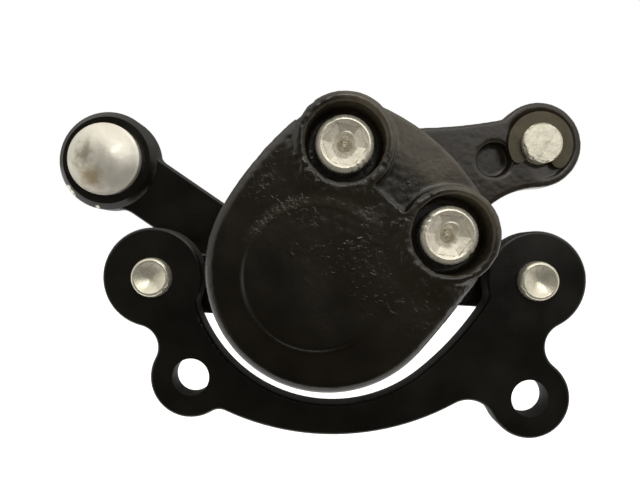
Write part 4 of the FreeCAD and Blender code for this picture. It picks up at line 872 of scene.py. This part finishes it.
class CALIPER_OT_dress_pins(bpy.types.Operator):
    """Guide pins, swivel pins and their clips"""

    bl_idname = "caliper.dress_pins"
    bl_label = "Dress Pins and Clips"

    def execute(self, context):
        finishes = context.scene.caliper_finishes
        # Turned mild steel: satin, with a few dents from riveting
        turned = bare_metal("turned_mild_steel", finishes.turned_steel, 0.27,
                            blotch_mm=1.4, blotch_height=0.04, scratch_mm=0.5, scratch_height=0.004,
                            tint=0.22, metallic=0.68)
        for node, axis, nicks in (
            ("guide_pin_left", LEFT_PIN, ((-38, 12, 0.27), (-58, 7, 0.10), (20, 22, 0.08))),
            ("guide_pin_right", RIGHT_PIN, ((150, 16, 0.12), (215, 10, 0.2), (60, 12, 0.06))),
        ):
            low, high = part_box(node)
            shape = self.riveted_pin(low.y / MM, high.y / MM, nicks)
            mesh = finish_mesh(shape, node + "_turned", axis)
            new_piece(node + "_turned", mesh, turned, "bracket", [node])
        dress("cable_stop_barrel", turned)
        shape = self.hammered_end(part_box("cable_stop_barrel")[0].y / MM)
        mesh = finish_mesh(shape, "stop_pin_end", LUG_PIN)
        new_piece("stop_pin_end", mesh, turned, "stop")
        # Pressed and tumbled steel, the lever's domed head: broad soft blotches, an old brown mark below
        # its middle, and a grey patch on its left that is painted shade
        marks_and_shade = ((-61.9, 9.8, 40.2, 4.0, "b5a388"), (-64.0, 9.8, 45.2, 4.2, "959080"))
        dome = bare_metal("tumbled_steel_dome", finishes.dome_steel, 0.37,
                          blotch_mm=4.0, blotch_height=0.14, scratch_mm=0.8, scratch_height=0.008,
                          tint=0.2, marks_and_shade=marks_and_shade, metallic=0.55)
        dress("cable_clamp_pin", dome)
        shape = self.domed_head(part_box("cable_clamp_pin")[0].y / MM)
        mesh = finish_mesh(shape, "clamp_pin_head", LEVER_EYE)
        new_piece("clamp_pin_head", mesh, dome, "clamp")
        # Blackened spring steel: dark grey with a dull shine
        clip = bare_metal("blackened_spring_steel", finishes.clip_steel, 0.48,
                          blotch_mm=3.0, blotch_height=0.03, scratch_mm=0.4, scratch_height=0.005,
                          tint=0.25)
        dress("clamp_clip", clip)
        dress("stop_clip", clip)
        return {"FINISHED"}

    def riveted_pin(self, front, rear, nicks):
        """A pin with a front end dished by the riveting punch, a rolled rim, and a head at its rear."""
        dish_radius, dish_bottom, dish_depth, steps = 3.0, 1.20, 1.10, 9
        rings = [(front + dish_bottom, 0.05)]
        for step in range(1, steps + 1):
            reach = dish_radius * step / steps
            rings.append((front + dish_bottom - dish_depth * (reach / dish_radius) ** 1.5, reach))
        rings += [
            (front + 0.03, 3.12),
            (front, 3.26),
            (front + 0.04, nicked(3.46, [(at, width, depth * 0.3) for at, width, depth in nicks])),
            (front + 0.14, nicked(3.66, nicks)),
            (front + 0.32, nicked(3.79, nicks)),
            (front + 0.60, nicked(3.89, nicks)),
            (front + 1.10, 3.96),
            (rear - 1.5, 3.98),
            (rear - 1.5, 5.2),
            (rear - 1.3, 5.45),
            (rear - 0.4, 5.45),
            (rear - 0.1, 5.2),
            (rear, 4.7),
        ]
        return lathe(rings, turns=144)

    def domed_head(self, front):
        """The lever's pressed head: a cap with a rounded rim that covers the clamp pin's plain one."""
        cap_radius, cap_height, bulge, steps = 7.8, 2.31, 0.74, 11
        rings = []
        for step in range(steps + 1):
            reach = 0.05 + 7.75 * step / steps
            rings.append((front - bulge + cap_height * (reach / cap_radius) ** 2, reach))
        rings += [
            (front + 1.68, 8.00),
            (front + 1.82, 8.15),
            (front + 2.05, 8.20),
            (front + 3.40, 8.20),
            (front + 3.60, 8.05),
        ]
        return lathe(rings, turns=128)

    def hammered_end(self, front):
        """The swivel pin's front end: two flats that meet softly, and nicks along its edge."""
        nicks = ((150, 12, 0.3), (128, 8, 0.2), (205, 14, 0.35), (235, 8, 0.2), (-60, 10, 0.15))

        def slant(reach):
            def depth(angle):
                across = reach * math.cos(angle + 0.5) - 0.3
                return front - 0.08 + 0.045 * (across + math.sqrt(across * across + 0.16))
            return depth

        rings = [(slant(reach), nicked(reach, nicks) if reach > 3 else reach)
                 for reach in (0.05, 0.6, 1.2, 1.8, 2.4, 3.0, 3.4, 3.65)]
        rings += [
            (front + 0.25, nicked(3.90, nicks)),
            (front + 0.60, nicked(4.03, nicks)),
            (front + 1.20, 4.03),
        ]
        return lathe(rings, turns=144)


class CALIPER_OT_dress_cable_hardware(bpy.types.Operator):
    """Barrel adjuster, locknut, clamp screw, and the lever's nut and washer"""

    bl_idname = "caliper.dress_cable_hardware"
    bl_label = "Dress Cable Hardware"

    def execute(self, context):
        finishes = context.scene.caliper_finishes
        # Zinc plate on machined screws and nuts: bright, a little warm, with faint turning marks
        zinc = bare_metal("zinc_plated_machined_steel", finishes.zinc, 0.30,
                          blotch_mm=2.2, blotch_height=0.03, scratch_mm=0.4, scratch_height=0.003)
        for node in ("barrel_adjuster", "adjuster_locknut", "clamp_screw", "lever_nut", "lever_washer"):
            dress(node, zinc)
        return {"FINISHED"}


class CALIPER_OT_dress_inner_parts(bpy.types.Operator):
    """Pads, piston, balls, cam shaft, bush, seal and return spring"""

    bl_idname = "caliper.dress_inner_parts"
    bl_label = "Dress Inner Parts"

    def execute(self, context):
        finishes = context.scene.caliper_finishes
        # Pressed resin lining with metal fibre: dull and speckled
        lining, tree, shader, place = new_material("pressed_friction_lining")
        speck = add_node(tree, "ShaderNodeTexVoronoi", {"Vector": place, "Scale": per_metre(0.6)})
        tone = add_node(tree, "ShaderNodeMapRange", (speck.outputs["Distance"], 0.0, 0.6, 1.5, 0.8))
        fibre = add_node(tree, "ShaderNodeMix", {0: 1.0, 6: finishes.lining, 7: tone},
                         data_type="RGBA", blend_type="MULTIPLY").outputs[2]
        plug(tree, shader, {
            "Base Color": fibre, "Roughness": 0.85,
            "Normal": relief(tree, place, ((0.4, 4.0, 0.0, 0.04),))})
        # Stamped steel back plates, oiled: grey and uneven
        plate = bare_metal("stamped_steel_back_plate", linear("8f8a80"), 0.42, 4.0, 0.04, 0.3, 0.012)
        # Nickel-plated magnets: bright and even
        nickel = bare_metal("nickel_plated_magnet", linear("c9c5bb"), 0.18, 3.0, 0.01, 0.3, 0.003)
        for pad in ("fixed_pad", "moving_pad"):
            dress(pad + "_lining", lining)
            dress(pad + "_plate", plate)
            dress(pad + "_magnet", nickel)
        # Hardened steel, ground: fine and even
        ground = bare_metal("ground_hardened_steel", linear("b4b0a8"), 0.26, 3.0, 0.01, 0.25, 0.006)
        for node in ("pressure_piston", "cam_shaft", "thrust_washer"):
            dress(node, ground)
        # Polished bearing balls: nearly mirrors
        polished = bare_metal("polished_bearing_steel", linear("d8d6d0"), 0.10, 3.0, 0.0, 0.3, 0.0)
        dress("cam_balls", polished)
        # Sintered bronze bush: dull gold with fine pores
        bronze = bare_metal("sintered_bronze", finishes.bronze, 0.45, 1.2, 0.02, 0.25, 0.02)
        dress("shaft_bush", bronze)
        # Moulded nitrile rubber seal: matt black
        rubber = painted("moulded_nitrile_rubber", linear("141414"), 0.6, 1.45,
                         0.8, 0.004, 0.3, 0.002)[0]
        dress("shaft_seal", rubber)
        # Hard-drawn spring wire, oiled: dark, with fine scratches
        wire = bare_metal("oiled_spring_wire", linear("77736a"), 0.32, 1.5, 0.02, 0.25, 0.01)
        dress("return_spring", wire)
        return {"FINISHED"}


class CALIPER_PT_looks(bpy.types.Panel):
    """Lists the caliper's looks and their settings"""

    bl_idname = "CALIPER_PT_looks"
    bl_label = "Brake Caliper"
    bl_space_type = "VIEW_3D"
    bl_region_type = "UI"
    bl_category = "Caliper"

    def draw(self, context):
        for operator in OPERATORS:
            self.layout.operator(operator.bl_idname)
        scene = context.scene
        for group in (scene.caliper_finishes, scene.caliper_details, scene.caliper_stage):
            box = self.layout.box()
            for name in group.__annotations__:
                box.prop(group, name)


OPERATORS = (
    CALIPER_OT_set_stage,
    CALIPER_OT_dress_castings,
    CALIPER_OT_dress_plates,
    CALIPER_OT_dress_body_bolts,
    CALIPER_OT_dress_pins,
    CALIPER_OT_dress_cable_hardware,
    CALIPER_OT_dress_inner_parts,
)
CLASSES = (CaliperFinishes, CaliperDetails, CaliperStage) + OPERATORS + (CALIPER_PT_looks,)


def register():
    for cls in CLASSES:
        bpy.utils.register_class(cls)
    bpy.types.Scene.caliper_finishes = PointerProperty(type=CaliperFinishes)
    bpy.types.Scene.caliper_details = PointerProperty(type=CaliperDetails)
    bpy.types.Scene.caliper_stage = PointerProperty(type=CaliperStage)


def unregister():
    del bpy.types.Scene.caliper_stage
    del bpy.types.Scene.caliper_details
    del bpy.types.Scene.caliper_finishes
    for cls in reversed(CLASSES):
        bpy.utils.unregister_class(cls)


def main():
    register()
    bpy.ops.caliper.set_stage()
    bpy.ops.caliper.dress_castings()
    bpy.ops.caliper.dress_plates()
    bpy.ops.caliper.dress_body_bolts()
    bpy.ops.caliper.dress_pins()
    bpy.ops.caliper.dress_cable_hardware()
    bpy.ops.caliper.dress_inner_parts()


if __name__ == "__main__":
    main()
